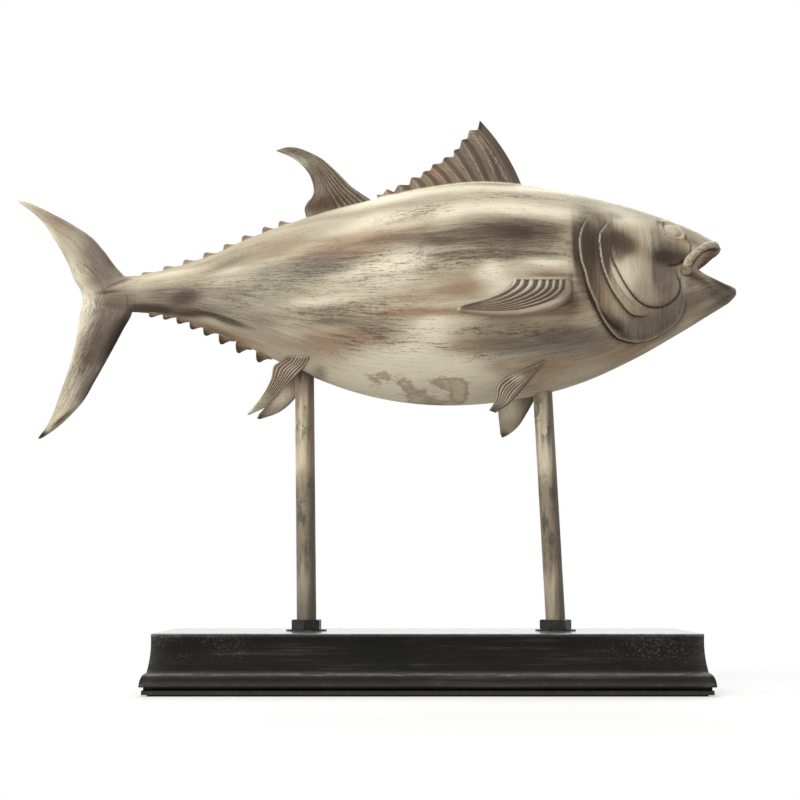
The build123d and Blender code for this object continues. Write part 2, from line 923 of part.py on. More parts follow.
hollow = lens_loft(
    [body_lows[i] for i in hollow_stations],
    [body_highs[i] for i in hollow_stations],
    [body_half_widths[i] for i in hollow_stations],
    -wall,
)
body = skin - hollow
for boss in bosses:
    body += boss & skin
for share, height in upper_finlet_shares:
    x = tail_joint_x + share * body_length
    body += finlet(x, back_z(x), height * upper_finlet_height)
for share, height in lower_finlet_shares:
    x = tail_joint_x + share * body_length
    body += finlet(x, belly_z(x), -height * lower_finlet_height)

corner = body_point(lip_corner_share)
tip = body_point(lip_tip_share)
corner_y = flank_y(corner.X, corner.Z)
tip_y = lip_tip_width_share * body_width / 2
lip_path = FilletPolyline(
    (corner.X, -corner_y, corner.Z),
    (tip.X, -tip_y, tip.Z),
    (tip.X, tip_y, tip.Z),
    (corner.X, corner_y, corner.Z),
    radius=lip_bend,
)
lip = sweep(Plane(origin=lip_path @ 0, z_dir=lip_path % 0) * Circle(lip_diameter / 2), lip_path)
mouth_points = [body_point(share) for share in mouth_shares]
mouth = extrude(make_face(Polyline(*mouth_points, close=True)), body_width, both=True)
body = (body - mouth) + lip

eye_centre = body_point(eye_share)
eye_plane = Plane(origin=eye_centre, x_dir=(1, 0, 0), z_dir=(0, -1, 0))
eye_outline = eye_plane * Rot(0, 0, eye_tilt) * Ellipse(eye_length / 2, eye_height / 2)
body += extrude(eye_outline, body_width, both=True) & body_form(eye_rise)

groove_floor = body_form(-groove_depth)
for line in (gill_line_shares, cover_line_shares, cheek_line_shares):
    points = [body_point(share) for share in line]
    stroke = trace(Plane.XZ.to_local_coords(Spline(*points)), groove_width)
    body -= extrude(Plane.XZ * stroke, body_width, both=True) - groove_floor

for socket in sockets:
    body -= socket
nodes["fish_body"] = body

# One file for each piece
os.makedirs("parts", exist_ok=True)
for name, shape in nodes.items():
    export_step(shape, "parts/" + name + ".step")
print(len(nodes), "nodes written")
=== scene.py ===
# %% [markdown]
# A tuna figurine, cast in resin, painted to look like weathered wood, and set on two
# painted rods above a black moulded plinth. This notebook builds what the eye sees, cell
# by cell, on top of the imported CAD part. Lengths are millimetres until a mesh is made.

# %% Load the CAD frame
import json
import math

import bmesh
import bpy
import numpy as np
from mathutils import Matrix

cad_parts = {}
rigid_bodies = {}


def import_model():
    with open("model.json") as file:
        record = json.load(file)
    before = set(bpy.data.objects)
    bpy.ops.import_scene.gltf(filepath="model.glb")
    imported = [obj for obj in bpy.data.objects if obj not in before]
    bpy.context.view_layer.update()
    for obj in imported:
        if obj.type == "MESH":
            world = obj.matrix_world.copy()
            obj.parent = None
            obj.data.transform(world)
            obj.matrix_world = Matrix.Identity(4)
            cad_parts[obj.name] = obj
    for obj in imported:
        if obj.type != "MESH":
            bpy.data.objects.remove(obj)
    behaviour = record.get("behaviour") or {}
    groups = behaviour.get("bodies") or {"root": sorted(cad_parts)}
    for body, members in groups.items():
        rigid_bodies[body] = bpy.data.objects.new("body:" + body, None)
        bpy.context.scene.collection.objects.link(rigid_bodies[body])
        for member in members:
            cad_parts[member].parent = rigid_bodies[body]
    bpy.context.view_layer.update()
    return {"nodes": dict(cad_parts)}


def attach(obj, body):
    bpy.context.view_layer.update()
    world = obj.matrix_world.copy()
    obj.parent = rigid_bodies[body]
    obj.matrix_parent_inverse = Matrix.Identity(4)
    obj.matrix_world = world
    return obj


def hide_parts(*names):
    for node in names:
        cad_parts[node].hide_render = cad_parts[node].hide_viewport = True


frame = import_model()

MM = 0.001
RIGHT = -1
LEFT = 1
print("CAD nodes:", len(frame["nodes"]))

# %% [markdown]
# Every form here is a surface over a grid: one parameter runs along the piece and the
# other across it. A few helpers do the common work. A line of measured points becomes a
# smooth curve, and a grid of points becomes quads. Blender's own curve and modifier tools
# could make such forms too, but whole arrays are quick, exact and the same on every run.

# %% Helpers for curves and grids
def srgb(code):
    """Linear RGBA from a web colour: c/12.92 below 0.04, else ((c + 0.055)/1.055) to the 2.4."""
    parts = np.array([int(code[i:i + 2], 16) / 255 for i in (1, 3, 5)])
    linear = np.where(parts <= 0.04045, parts / 12.92, ((parts + 0.055) / 1.055) ** 2.4)
    return (*linear, 1.0)


def curve_at(points, u):
    """Catmull-Rom curve through the points; u counts points, and may be any array."""
    p = np.asarray(points, float)
    p = np.vstack([2 * p[0] - p[1], p, 2 * p[-1] - p[-2]])
    i = np.clip(np.floor(u).astype(int), 0, len(p) - 4)
    t = (u - i)[..., None]
    a, b, c, d = p[i], p[i + 1], p[i + 2], p[i + 3]
    return 0.5 * (2 * b + (c - a) * t + (2 * a - 5 * b + 4 * c - d) * t ** 2
                  + (3 * b - a - 3 * c + d) * t ** 3)


def even_curve(points, share):
    """The same curve read by share of its arc length, 0 at the first point and 1 at the last."""
    u = np.linspace(0, len(points) - 1, 40 * len(points))
    dense = curve_at(points, u)
    reach = reach_along(dense, 0)
    return curve_at(points, np.interp(share * reach[-1], reach, u))


def smooth(low, high, x):
    """Smoothstep: 0 below low, 1 above high, 3t^2 - 2t^3 between."""
    t = np.clip((x - low) / (high - low), 0, 1)
    return t * t * (3 - 2 * t)


def bump_at(x, centre, spread):
    """A soft hill of height 1: exp(-((x - centre) / spread)^2)."""
    return np.exp(-((x - centre) / spread) ** 2)


def grid_faces(rows, columns, around=False, first=0):
    """Quads of a grid whose points are numbered row by row; around joins last column to first."""
    r = np.arange(rows - 1)[:, None]
    c = np.arange(columns if around else columns - 1)[None, :]
    n = (c + 1) % columns
    quads = np.stack([r * columns + c, r * columns + n, (r + 1) * columns + n, (r + 1) * columns + c], -1)
    return quads.reshape(-1, 4) + first


def normals_of(points):
    """Unit normals of a grid of points: cross product of the differences along both ways."""
    down = np.gradient(points, axis=0)
    over = np.gradient(points, axis=1)
    n = np.cross(down, over)
    return n / np.maximum(np.linalg.norm(n, axis=-1, keepdims=True), 1e-9)


def reach_along(points, axis):
    """Distance gone along one way of a grid of points: the running sum of the steps."""
    steps = np.linalg.norm(np.diff(points, axis=axis), axis=-1)
    start = np.zeros_like(steps.take([0], axis))
    return np.concatenate([start, np.cumsum(steps, axis)], axis)


def line_distance(x, z, line):
    """Signed distance to a smooth line, positive on its left, and the share of the line reached."""
    p = even_curve(line, np.linspace(0, 1, 90))
    a, step = p[:-1], np.diff(p, axis=0)
    place = np.stack([x, z], -1)[..., None, :] - a
    t = np.clip((place * step).sum(-1) / (step * step).sum(-1), 0, 1)
    gap = place - t[..., None] * step
    far = np.hypot(gap[..., 0], gap[..., 1])
    best = far.argmin(-1)[..., None]
    turn = np.sign(step[:, 0] * place[..., 1] - step[:, 1] * place[..., 0])
    pick = lambda values: np.take_along_axis(values, best, -1)[..., 0]
    return pick(far * turn), (best[..., 0] + pick(t)) / len(a)


print("a smooth curve's middle:", curve_at([(0, 0), (1, 2), (3, 3)], np.array([1.0])))

# %% [markdown]
# A piece is a closed skin with values painted on its points: how strong each wash is,
# where the recesses lie, and a flow vector that the brush streaks follow. Points that meet
# are welded, so that each piece ends as one watertight mesh.

# %% Make a piece from a skin
def add_piece(name, points, faces, material, values=None, flow=None, hides=()):
    """Build a mesh from points in millimetres, weld it, face it outward and let it ride the root.

    Six times the volume is the sum of a . (b x c + c x d) over the quads; its sign tells the facing.
    """
    points = np.asarray(points, float).reshape(-1, 3)
    faces = np.asarray(faces)
    a, b, c, d = (points[faces[:, k]] for k in range(4))
    volume = (a * (np.cross(b, c) + np.cross(c, d))).sum()
    if volume < 0:
        faces = faces[:, ::-1]
    mesh = bpy.data.meshes.new(name)
    mesh.from_pydata((points * MM).tolist(), [], faces.tolist())
    for key, value in (values or {}).items():
        channel = mesh.attributes.new(key, "FLOAT", "POINT")
        channel.data.foreach_set("value", np.asarray(value, float).ravel())
    if flow is not None:
        channel = mesh.attributes.new("flow", "FLOAT_VECTOR", "POINT")
        channel.data.foreach_set("vector", (np.asarray(flow, float) * MM).ravel())
    work = bmesh.new()
    work.from_mesh(mesh)
    bmesh.ops.remove_doubles(work, verts=work.verts, dist=2e-6)
    work.to_mesh(mesh)
    work.free()
    mesh.shade_smooth()
    piece = bpy.data.objects.new(name, mesh)
    bpy.context.scene.collection.objects.link(piece)
    mesh.materials.append(material)
    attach(piece, "root")
    if hides:
        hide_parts(*hides)
    triangles = sum(len(p.vertices) - 2 for p in mesh.polygons)
    print(name, triangles, "triangles")
    return piece


print("pieces are welded at 0.002 mm")

# %% [markdown]
# Paint is put on by strokes: soft ellipses with a tone, a place, a size, a tilt and a
# strength. Strokes of one tone add up like thin washes, 1 minus the product of what each
# one lets through. An image texture would hold more detail but needs an unwrapped skin,
# while values on the points stay with the piece. The streaks come later, in the material.

# %% Brush strokes
TONES = ("pale", "sage", "rose", "stain", "grey", "umber", "ink", "shade", "dry")


def washes(x, z, strokes):
    """Sum strokes (tone, x, z, half length, half height, tilt in degrees, strength) to masks."""
    clear = {tone: np.ones_like(x) for tone in TONES}
    for tone, cx, cz, half_x, half_z, tilt, strength in strokes:
        c, s = math.cos(math.radians(tilt)), math.sin(math.radians(tilt))
        along = ((x - cx) * c + (z - cz) * s) / half_x
        across = ((z - cz) * c - (x - cx) * s) / half_z
        clear[tone] *= 1 - strength * np.exp(-1.25 * np.hypot(along, across) ** 2.4)
    return {tone: 1 - clear[tone] for tone in TONES}


print("tones:", ", ".join(TONES))

# %% [markdown]
# Materials are node trees. The resin's paint has a cream ground mottled with beige, then
# washes of umber, grey, rose and near-black whose edges are broken by long thin streaks,
# the mark of a nearly dry brush. Recesses hold more of the dark wash and painted shade, and
# ridges get pale paint and painted highlight.

# %% Node helpers
def new_tree(name):
    """A material with one shader; returns the material, its tree and its shader."""
    material = bpy.data.materials.new(name)
    material.use_nodes = True
    tree = material.node_tree
    shader = tree.nodes["Principled BSDF"]
    return material, tree, shader


def feed(tree, socket, value):
    """Link a socket, or set a plain value."""
    if isinstance(value, bpy.types.NodeSocket):
        tree.links.new(value, socket)
    else:
        socket.default_value = value


def object_place(tree):
    """Where a point lies, in metres; every piece's own origin is the scene's."""
    return tree.nodes.new("ShaderNodeTexCoord").outputs["Object"]


def attribute(tree, name, output="Fac"):
    """A value painted on the piece's points."""
    n = tree.nodes.new("ShaderNodeAttribute")
    n.attribute_name = name
    return n.outputs[output]


def noise(tree, vector, scale, detail=4.0, roughness=0.55, stretch=(1, 1, 1)):
    """Fractal noise of a vector, stretched along its axes."""
    m = tree.nodes.new("ShaderNodeMapping")
    m.inputs["Scale"].default_value = stretch
    tree.links.new(vector, m.inputs["Vector"])
    n = tree.nodes.new("ShaderNodeTexNoise")
    n.inputs["Scale"].default_value = scale
    n.inputs["Detail"].default_value = detail
    n.inputs["Roughness"].default_value = roughness
    tree.links.new(m.outputs["Vector"], n.inputs["Vector"])
    return n.outputs["Fac"]


def ramp(tree, value, low, high, out_low=0.0, out_high=1.0):
    """Smoothstep of a value between low and high."""
    n = tree.nodes.new("ShaderNodeMapRange")
    n.interpolation_type = "SMOOTHSTEP"
    feed(tree, n.inputs["Value"], value)
    for key, v in (("From Min", low), ("From Max", high), ("To Min", out_low), ("To Max", out_high)):
        n.inputs[key].default_value = v
    return n.outputs["Result"]


def maths(tree, kind, a, b=0.0):
    """One arithmetic step."""
    n = tree.nodes.new("ShaderNodeMath")
    n.operation = kind
    feed(tree, n.inputs[0], a)
    feed(tree, n.inputs[1], b)
    return n.outputs["Value"]


def mix(tree, factor, a, b):
    """Blend two colours by a factor."""
    n = tree.nodes.new("ShaderNodeMix")
    n.data_type = "RGBA"
    feed(tree, n.inputs["Factor"], factor)
    feed(tree, n.inputs["A"], a)
    feed(tree, n.inputs["B"], b)
    return n.outputs["Result"]


def times(tree, a, b):
    """Product of two values."""
    return maths(tree, "MULTIPLY", a, b)


def weighted(tree, *terms):
    """Sum of values, where a pair (value, weight) counts as value * weight."""
    parts = [times(tree, *term) if isinstance(term, tuple) else term for term in terms]
    total = parts[0]
    for part in parts[1:]:
        total = maths(tree, "ADD", total, part)
    return total


def centred(tree, value):
    """A noise of 0 to 1 moved to lie about zero: value - 0.5."""
    return maths(tree, "SUBTRACT", value, 0.5)


def layer(tree, colour, mask, cover, code):
    """Paint over a colour where the mask lies: blend towards the code by mask * cover."""
    return mix(tree, times(tree, mask, cover), colour, srgb(code))


def broken(tree, mask, streak, reach, low, high):
    """A wash with a dry brush's edge: smoothstep of mask + reach * (streak - 0.5)."""
    return ramp(tree, weighted(tree, mask, (centred(tree, streak), reach)), low, high)


def bump(tree, shader, height, distance, strength=1.0):
    """Fine relief from a height value, in metres."""
    n = tree.nodes.new("ShaderNodeBump")
    n.inputs["Strength"].default_value = strength
    n.inputs["Distance"].default_value = distance
    tree.links.new(height, n.inputs["Height"])
    tree.links.new(n.outputs["Normal"], shader.inputs["Normal"])


print("white in linear light:", srgb("#ffffff"))

# %% [markdown]
# The resin paint itself. Flow is a vector in metres: its first part runs along the fish
# or along a fin's ray, so noise squeezed on that part gives long streaks. The layers go on
# in the order that a painter would use: ground, washes, stains, dry brush, dark recesses
# with painted shade, and last pale paint and painted highlight on the ridges.

# %% Painted resin
WASHES = {
    "pale": ("#f0e7ce", 0.92), "sage": ("#a9a491", 0.80), "rose": ("#98795f", 0.85),
    "grey": ("#695d53", 0.90), "umber": ("#4b3a2c", 0.95), "ink": ("#1d1916", 0.97),
}


def resin_paint(name, ground, ground_dark, along=1.0, across=1.0):
    """Cream paint under soft washes, dry-brushed lines, dark wash with painted shade in recesses, pale paint
    with painted highlight on ridges.
    """
    material, tree, shader = new_tree(name)
    flow = attribute(tree, "flow", "Vector")

    def strands(length_wise, cross_wise, detail, roughness):
        """Noise drawn out along the flow, its contrast stretched to 0..1."""
        stretch = (length_wise * along, cross_wise * across, cross_wise * across)
        return ramp(tree, noise(tree, flow, 1.0, detail, roughness, stretch), 0.34, 0.66)

    clouds = strands(12, 34, 4.0, 0.6)
    puddles = strands(80, 110, 6.0, 0.65)
    streaks = strands(40, 420, 4.0, 0.6)
    lines = strands(85, 1250, 4.0, 0.65)
    grains = strands(460, 900, 4.0, 0.75)
    scratches = strands(170, 2000, 3.0, 0.7)
    colour = mix(tree, clouds, srgb(ground), srgb(ground_dark))
    colour = layer(tree, colour, ramp(tree, streaks, 0.35, 1.0), 0.22, "#94866f")
    hairs = weighted(tree, (lines, 0.40), (grains, 0.25), (streaks, 0.35))
    for tone, (code, cover) in WASHES.items():
        wash = broken(tree, attribute(tree, tone), hairs, 0.26, -0.02, 1.0)
        colour = layer(tree, colour, wash, cover, code)

    # a stain is a faint yellow-brown with a darker tide mark round its edge
    spill = weighted(tree, attribute(tree, "stain"), (centred(tree, puddles), 0.50),
                     (centred(tree, grains), 0.20))
    colour = mix(tree, ramp(tree, spill, 0.05, 1.15, 0.0, 0.30), colour, srgb("#9a7636"))
    tide = times(tree, ramp(tree, spill, 0.22, 0.50), ramp(tree, spill, 0.95, 0.52))
    colour = layer(tree, colour, tide, 0.46, "#664420")
    # painted shade: the shade tone darkens where shadow falls, by the gill, in its channel, under the fins
    # and along the tail's leading edge; it also gives the eye's dark patch
    colour = layer(tree, colour, attribute(tree, "shade"), 0.95, "#3a2e25")

    # dry brushing leaves thin dark lines, and more of them where the brush was loaded
    fine = weighted(tree, (lines, 0.38), (grains, 0.27), (scratches, 0.35))
    loaded = times(tree, attribute(tree, "dry"), ramp(tree, streaks, 0.0, 0.9, 0.7, 1.0))
    brushed = weighted(tree, fine, (loaded, 0.42))
    colour = layer(tree, colour, ramp(tree, brushed, 0.68, 1.10), 0.66, "#46382a")

    # dark wash and painted shade in the recesses
    worn = broken(tree, attribute(tree, "recess"), grains, 0.22, 0.10, 0.90)
    colour = layer(tree, colour, worn, 0.94, "#33291f")
    # pale paint and painted highlight on the ridges
    ridge_paint_and_highlight = broken(tree, attribute(tree, "ridge"), grains, 0.45, 0.20, 0.95)
    colour = layer(tree, colour, ridge_paint_and_highlight, 0.80, "#cdbfa2")
    tree.links.new(colour, shader.inputs["Base Color"])
    tree.links.new(weighted(tree, (streaks, 0.14), 0.46), shader.inputs["Roughness"])
    shader.inputs["Specular IOR Level"].default_value = 0.20
    bump(tree, shader, weighted(tree, (lines, 0.45), (streaks, 0.55)), 0.0004, 0.40)
    return material


resin = resin_paint("painted_resin", "#cfc4ab", "#aa9d85")
fin_resin = resin_paint("painted_resin_fins", "#9a8c78", "#75695b", 1.3, 1.1)
print("resin paints made")

# %% [markdown]
# The camera stands just above the plinth, about a metre away, and looks a little up, as
# the verticals in the picture show. Light is soft: a broad warm panel above and in front,
# weaker ones from the left and from low in front, one behind, and a pale sky.

# %% Camera and light
camera_data = bpy.data.cameras.new("camera")
camera_data.sensor_width = 36.0
camera_data.lens = 68.73
look_up = 6.72
camera = bpy.data.objects.new("camera", camera_data)
camera.location = (-0.01606, -0.950, 0.06708)
camera.rotation_euler = (math.radians(90 + look_up), 0, 0)
bpy.context.scene.collection.objects.link(camera)
bpy.context.scene.camera = camera
bpy.context.scene.view_settings.view_transform = "Standard"


def panel(name, place, aim, size, power, colour=(1, 1, 1)):
    """A square soft light at a place, aimed at a point."""
    data = bpy.data.lights.new(name, "AREA")
    data.size = size
    data.energy = power
    data.color = colour
    light = bpy.data.objects.new(name, data)
    light.location = place
    direction = np.array(aim) - np.array(place)
    yaw = math.atan2(direction[1], direction[0]) - math.pi / 2
    tilt = math.atan2(direction[2], math.hypot(direction[0], direction[1])) + math.pi / 2
    light.rotation_euler = (tilt, 0, yaw)
    bpy.context.scene.collection.objects.link(light)


panel("key_panel", (-0.35, -0.75, 1.20), (0, 0, 0.24), 0.8, 12.4, (1.0, 0.985, 0.95))
panel("left_panel", (-1.1, -0.45, 0.45), (-0.02, 0, 0.20), 0.7, 3.2)
panel("low_panel", (-0.1, -1.5, 0.15), (0, 0, 0.20), 0.7, 3.3)
panel("back_panel", (0.2, 0.9, 1.1), (0, 0, 0.2), 0.8, 9.0)

world = bpy.data.worlds.new("sky")
world.use_nodes = True
bpy.context.scene.world = world
sky = world.node_tree
sky_light = sky.nodes["Background"]
sky_light.inputs["Color"].default_value = (0.86, 0.88, 0.92, 1)
sky_light.inputs["Strength"].default_value = 0.36
sky_seen = sky.nodes.new("ShaderNodeBackground")
sky_seen.inputs["Color"].default_value = (1, 1, 1, 1)
path = sky.nodes.new("ShaderNodeLightPath")
seen = maths(sky, "ADD", path.outputs["Is Camera Ray"], path.outputs["Is Glossy Ray"])
seen = maths(sky, "ADD", seen, path.outputs["Is Transmission Ray"])
choose = sky.nodes.new("ShaderNodeMixShader")
sky.links.new(seen, choose.inputs[0])
sky.links.new(sky_light.outputs[0], choose.inputs[1])
sky.links.new(sky_seen.outputs[0], choose.inputs[2])
sky.links.new(choose.outputs[0], sky.nodes["World Output"].inputs["Surface"])

print("lights:", len(bpy.data.lights))

# %% [markdown]
# The floor is a white sheet. Near the plinth it keeps the soft shadow, and further out the
# camera sees plain white, so no edge shows against the white surroundings. Other rays see
# a light grey, which keeps the light that bounces back up at a natural level.

# %% Floor
def white_sheet():
    """White paper whose seen colour turns to plain white by the distance from the middle."""
    material, tree, shader = new_tree("white_sheet")
    place = object_place(tree)
    camera_ray = tree.nodes.new("ShaderNodeLightPath").outputs["Is Camera Ray"]
    paper = mix(tree, noise(tree, place, 40.0, 2.0), srgb("#fbfbfa"), srgb("#fefefe"))
    tree.links.new(mix(tree, camera_ray, srgb("#cbc9c5"), paper), shader.inputs["Base Color"])
    shader.inputs["Roughness"].default_value = 0.9
    shader.inputs["Specular IOR Level"].default_value = 0.1
    distance = tree.nodes.new("ShaderNodeVectorMath")
    distance.operation = "LENGTH"
    tree.links.new(place, distance.inputs[0])
    far = ramp(tree, distance.outputs["Value"], 0.17, 0.42, 0.45, 1.0)
    blend = tree.nodes.new("ShaderNodeMixShader")
    tree.links.new(times(tree, far, camera_ray), blend.inputs[0])
    tree.links.new(shader.outputs[0], blend.inputs[1])
    tree.links.new(tree.nodes.new("ShaderNodeEmission").outputs[0], blend.inputs[2])
    tree.links.new(blend.outputs[0], tree.nodes["Material Output"].inputs["Surface"])
    return material


floor_half = 4.0
floor_mesh = bpy.data.meshes.new("floor")
floor_corners = [(sx * floor_half, sy * floor_half, 0) for sx, sy in ((-1, -1), (1, -1), (1, 1), (-1, 1))]
floor_mesh.from_pydata(floor_corners, [], [(0, 1, 2, 3)])
floor_mesh.materials.append(white_sheet())
floor = bpy.data.objects.new("floor", floor_mesh)
bpy.context.scene.collection.objects.link(floor)
print("floor sheet of", 2 * floor_half, "metres")

# %% [markdown]
# The body is a lens-shaped hollow casting. Fourteen stations give its lower and upper
# outline and its width, as the CAD body has them. Between stations the outline is a smooth
# curve, and each ring is an ellipse on the line from the lower to the upper point. It could
# be sculpted, but rings keep it on the CAD form, so the fins still seat where they should.

# %% Body form
body_length, body_depth, body_width = 379.0, 142.0, 84.0
belly_height, tail_joint_x = 175.6, -181.3
lens_share = 0.8
# shares of length and depth of the low point and of the high point, and the share of width
STATIONS = np.array([
    (0.000, 0.416, 0.000, 0.580, 0.190), (0.056, 0.402, 0.056, 0.615, 0.300),
    (0.122, 0.339, 0.122, 0.672, 0.476), (0.201, 0.239, 0.201, 0.765, 0.679),
    (0.294, 0.124, 0.294, 0.852, 0.845), (0.386, 0.042, 0.386, 0.919, 0.948),
    (0.478, 0.004, 0.478, 0.969, 0.990), (0.571, 0.007, 0.571, 0.998, 1.000),
    (0.663, 0.045, 0.663, 0.980, 0.970), (0.742, 0.106, 0.742, 0.938, 0.900),
    (0.824, 0.206, 0.819, 0.887, 0.790), (0.893, 0.310, 0.879, 0.833, 0.640),
    (0.948, 0.399, 0.924, 0.784, 0.480), (0.998, 0.481, 0.967, 0.723, 0.280),
])
lows, highs = (STATIONS[:, k:k + 2] * (body_length, body_depth) + (tail_joint_x, belly_height)
               for k in (0, 2))
long_halves = np.linalg.norm(highs - lows, axis=1) / 2
half_widths = np.minimum(STATIONS[:, 4] * body_width / 2, long_halves * lens_share)
last_station = len(STATIONS) - 1


def ring(u, theta):
    """Body skin: middle + (high - low)/2 * sin(theta), and -half width * cos(theta) in Y."""
    low, high = curve_at(lows, u), curve_at(highs, u)
    wide = curve_at(half_widths[:, None], u)[..., 0]
    middle, half = (low + high) / 2, (high - low) / 2
    place = middle + half * np.sin(theta)[..., None]
    return np.stack([place[..., 0], -wide * np.cos(theta), place[..., 1]], -1)


dense_u = np.linspace(0, last_station, 1300)
dense_low, dense_high = curve_at(lows, dense_u), curve_at(highs, dense_u)
dense_middle = (dense_low + dense_high) / 2
dense_wide = curve_at(half_widths[:, None], dense_u)[:, 0]


def back_z(x):
    """Height of the back line at x."""
    return np.interp(x, dense_high[:, 0], dense_high[:, 1])


def belly_z(x):
    """Height of the belly line at x."""
    return np.interp(x, dense_low[:, 0], dense_low[:, 1])


def flank_y(x, z):
    """Half width of the body at x and z: wide * sqrt(1 - rise^2)."""
    wide = np.interp(x, dense_middle[:, 0], dense_wide)
    rise = (z - belly_z(x)) / ((back_z(x) - belly_z(x)) / 2) - 1
    return wide * np.sqrt(np.clip(1 - rise * rise, 0, 1))


def under_z(x, y):
    """Height of the underside at x and y."""
    wide = np.interp(x, dense_middle[:, 0], dense_wide)
    half = (back_z(x) - belly_z(x)) / 2
    return belly_z(x) + half * (1 - np.sqrt(np.clip(1 - (y / wide) ** 2, 0, 1)))


print("body from X", lows[0, 0], "to", lows[-1, 0])

# %% [markdown]
# The mouth is an open wedge seen from the side. Each line of the skin that runs to the
# head stops where it meets the wedge, and lines above and below run on to the two jaws.

# %% Where the skin stops at the mouth
mouth_x = np.array([168.5, 173.5, 180.5, 187.0, 193.5, 197.5, 205.0])
mouth_low = np.array([258.5, 255.2, 252.8, 250.6, 248.8, 247.2, 244.0])
mouth_high = np.array([258.5, 263.0, 268.2, 273.6, 281.0, 287.0, 300.0])
columns, neck_x = 340, 88.0
theta = -np.pi / 2 + 2 * np.pi * np.arange(columns) / columns
neck_u = np.interp(neck_x, dense_middle[:, 0], dense_u)
probe_u = np.linspace(neck_u, last_station, 1400)
probe = ring(probe_u[:, None] + 0 * theta, theta[None, :] + 0 * probe_u[:, None])
px, pz = probe[..., 0], probe[..., 2]
inside = ((px > mouth_x[0]) & (pz > np.interp(px, mouth_x, mouth_low))
          & (pz < np.interp(px, mouth_x, mouth_high)))
first_inside = np.where(inside.any(0), inside.argmax(0), len(probe_u) - 1)
rim_u = probe_u[first_inside]
print("skin lines that end at the mouth:", int(inside.any(0).sum()))

# %% [markdown]
# The head's relief is carved lines. The gill cover's outer edge stands up like a lip with
# a hollow behind it, a second edge follows inside, and a smooth cheek plate lies within.
# Heights come from the distance to each line: a step, a thin ridge and a crease. The eye
# is a low dome in an oval ring.

# %% Lines on the head
gill_line = [(104, 293), (99, 288), (94.4, 279), (93.1, 270.5), (93.7, 261), (96, 253), (98.2, 244),
             (102, 235.6), (107.3, 225), (115, 216), (122, 213.4), (131, 213), (140.5, 216),
             (151.6, 223), (158, 230), (159.7, 236), (156.6, 241)]
cover_line = [(116, 291), (109, 282), (106, 277), (105.7, 270.5), (106.7, 260), (108.5, 253),
              (113, 243), (118.4, 235.6), (125, 229), (131.4, 228), (139.3, 229)]
fold_line = [(112.4, 272.5), (111.2, 263.2), (112.1, 255.0), (115.5, 246.8), (121.4, 238.6),
             (127.3, 233.0), (133.3, 229.4)]
channel_line = [(97.3, 245.7), (101.2, 235.5), (106.1, 228.4), (114.0, 221.2), (122.0, 217.6)]
cheek_line = [(113.8, 273), (113.6, 263), (117.4, 254), (122.7, 244.6), (128.8, 237.5), (135, 234),
              (142.8, 233.5), (150, 236.7), (154.7, 241.5), (156, 247), (154, 252.6), (151, 256.6)]
brow_line = [(144, 284.9), (147.6, 285.9), (152.6, 284.4), (158.6, 280.8), (163.6, 275.6),
             (164.5, 271.5), (162.4, 266.3), (157.2, 261.2), (152.1, 259.1), (146, 258.6)]
corner_line = [(164, 262.7), (162.8, 258.5), (162.2, 254.3), (159.1, 253.2), (156.6, 257.4)]
keel_line = [(-186, 250), (-172, 253.5), (-159, 256), (-145, 257.5), (-132, 258.5)]
stem_line = [(-166, 236), (-150, 234.5), (-138.6, 231.9), (-119.7, 226.6), (-108, 222)]
eye_centre, eye_half, eye_tilt = (153.4, 283.3), (5.0, 3.4), -30.0
GROOVES = ((fold_line, 0.2, 0.6, 1.0, 0.45, 0.7), (channel_line, 0.2, 0.6, 1.0, 0.90, 1.1),
           (corner_line, 0.1, 0.8, 0.9, 0.65, 0.8))
HEAD_LINES = (gill_line, cover_line, fold_line, channel_line, cheek_line, brow_line, corner_line)
print("points on the head's lines:", sum(len(line) for line in HEAD_LINES))

# %% [markdown]
# Carving is a function of the place: it returns how far the skin rises there, how much dark
# wash and painted shade lies in the recess, and how much pale paint and painted highlight
# lies on the ridge. A step is a smoothstep of the distance that dies away behind it, and a
# groove is a soft hill turned down. The same numbers serve the shape and the paint, so that
# both always line up.

# %% Carving from the lines
def ends(share, fade=0.12):
    """1 along a line, falling to 0 at both ends."""
    return smooth(0, fade, share) * smooth(1, 1 - fade, share)


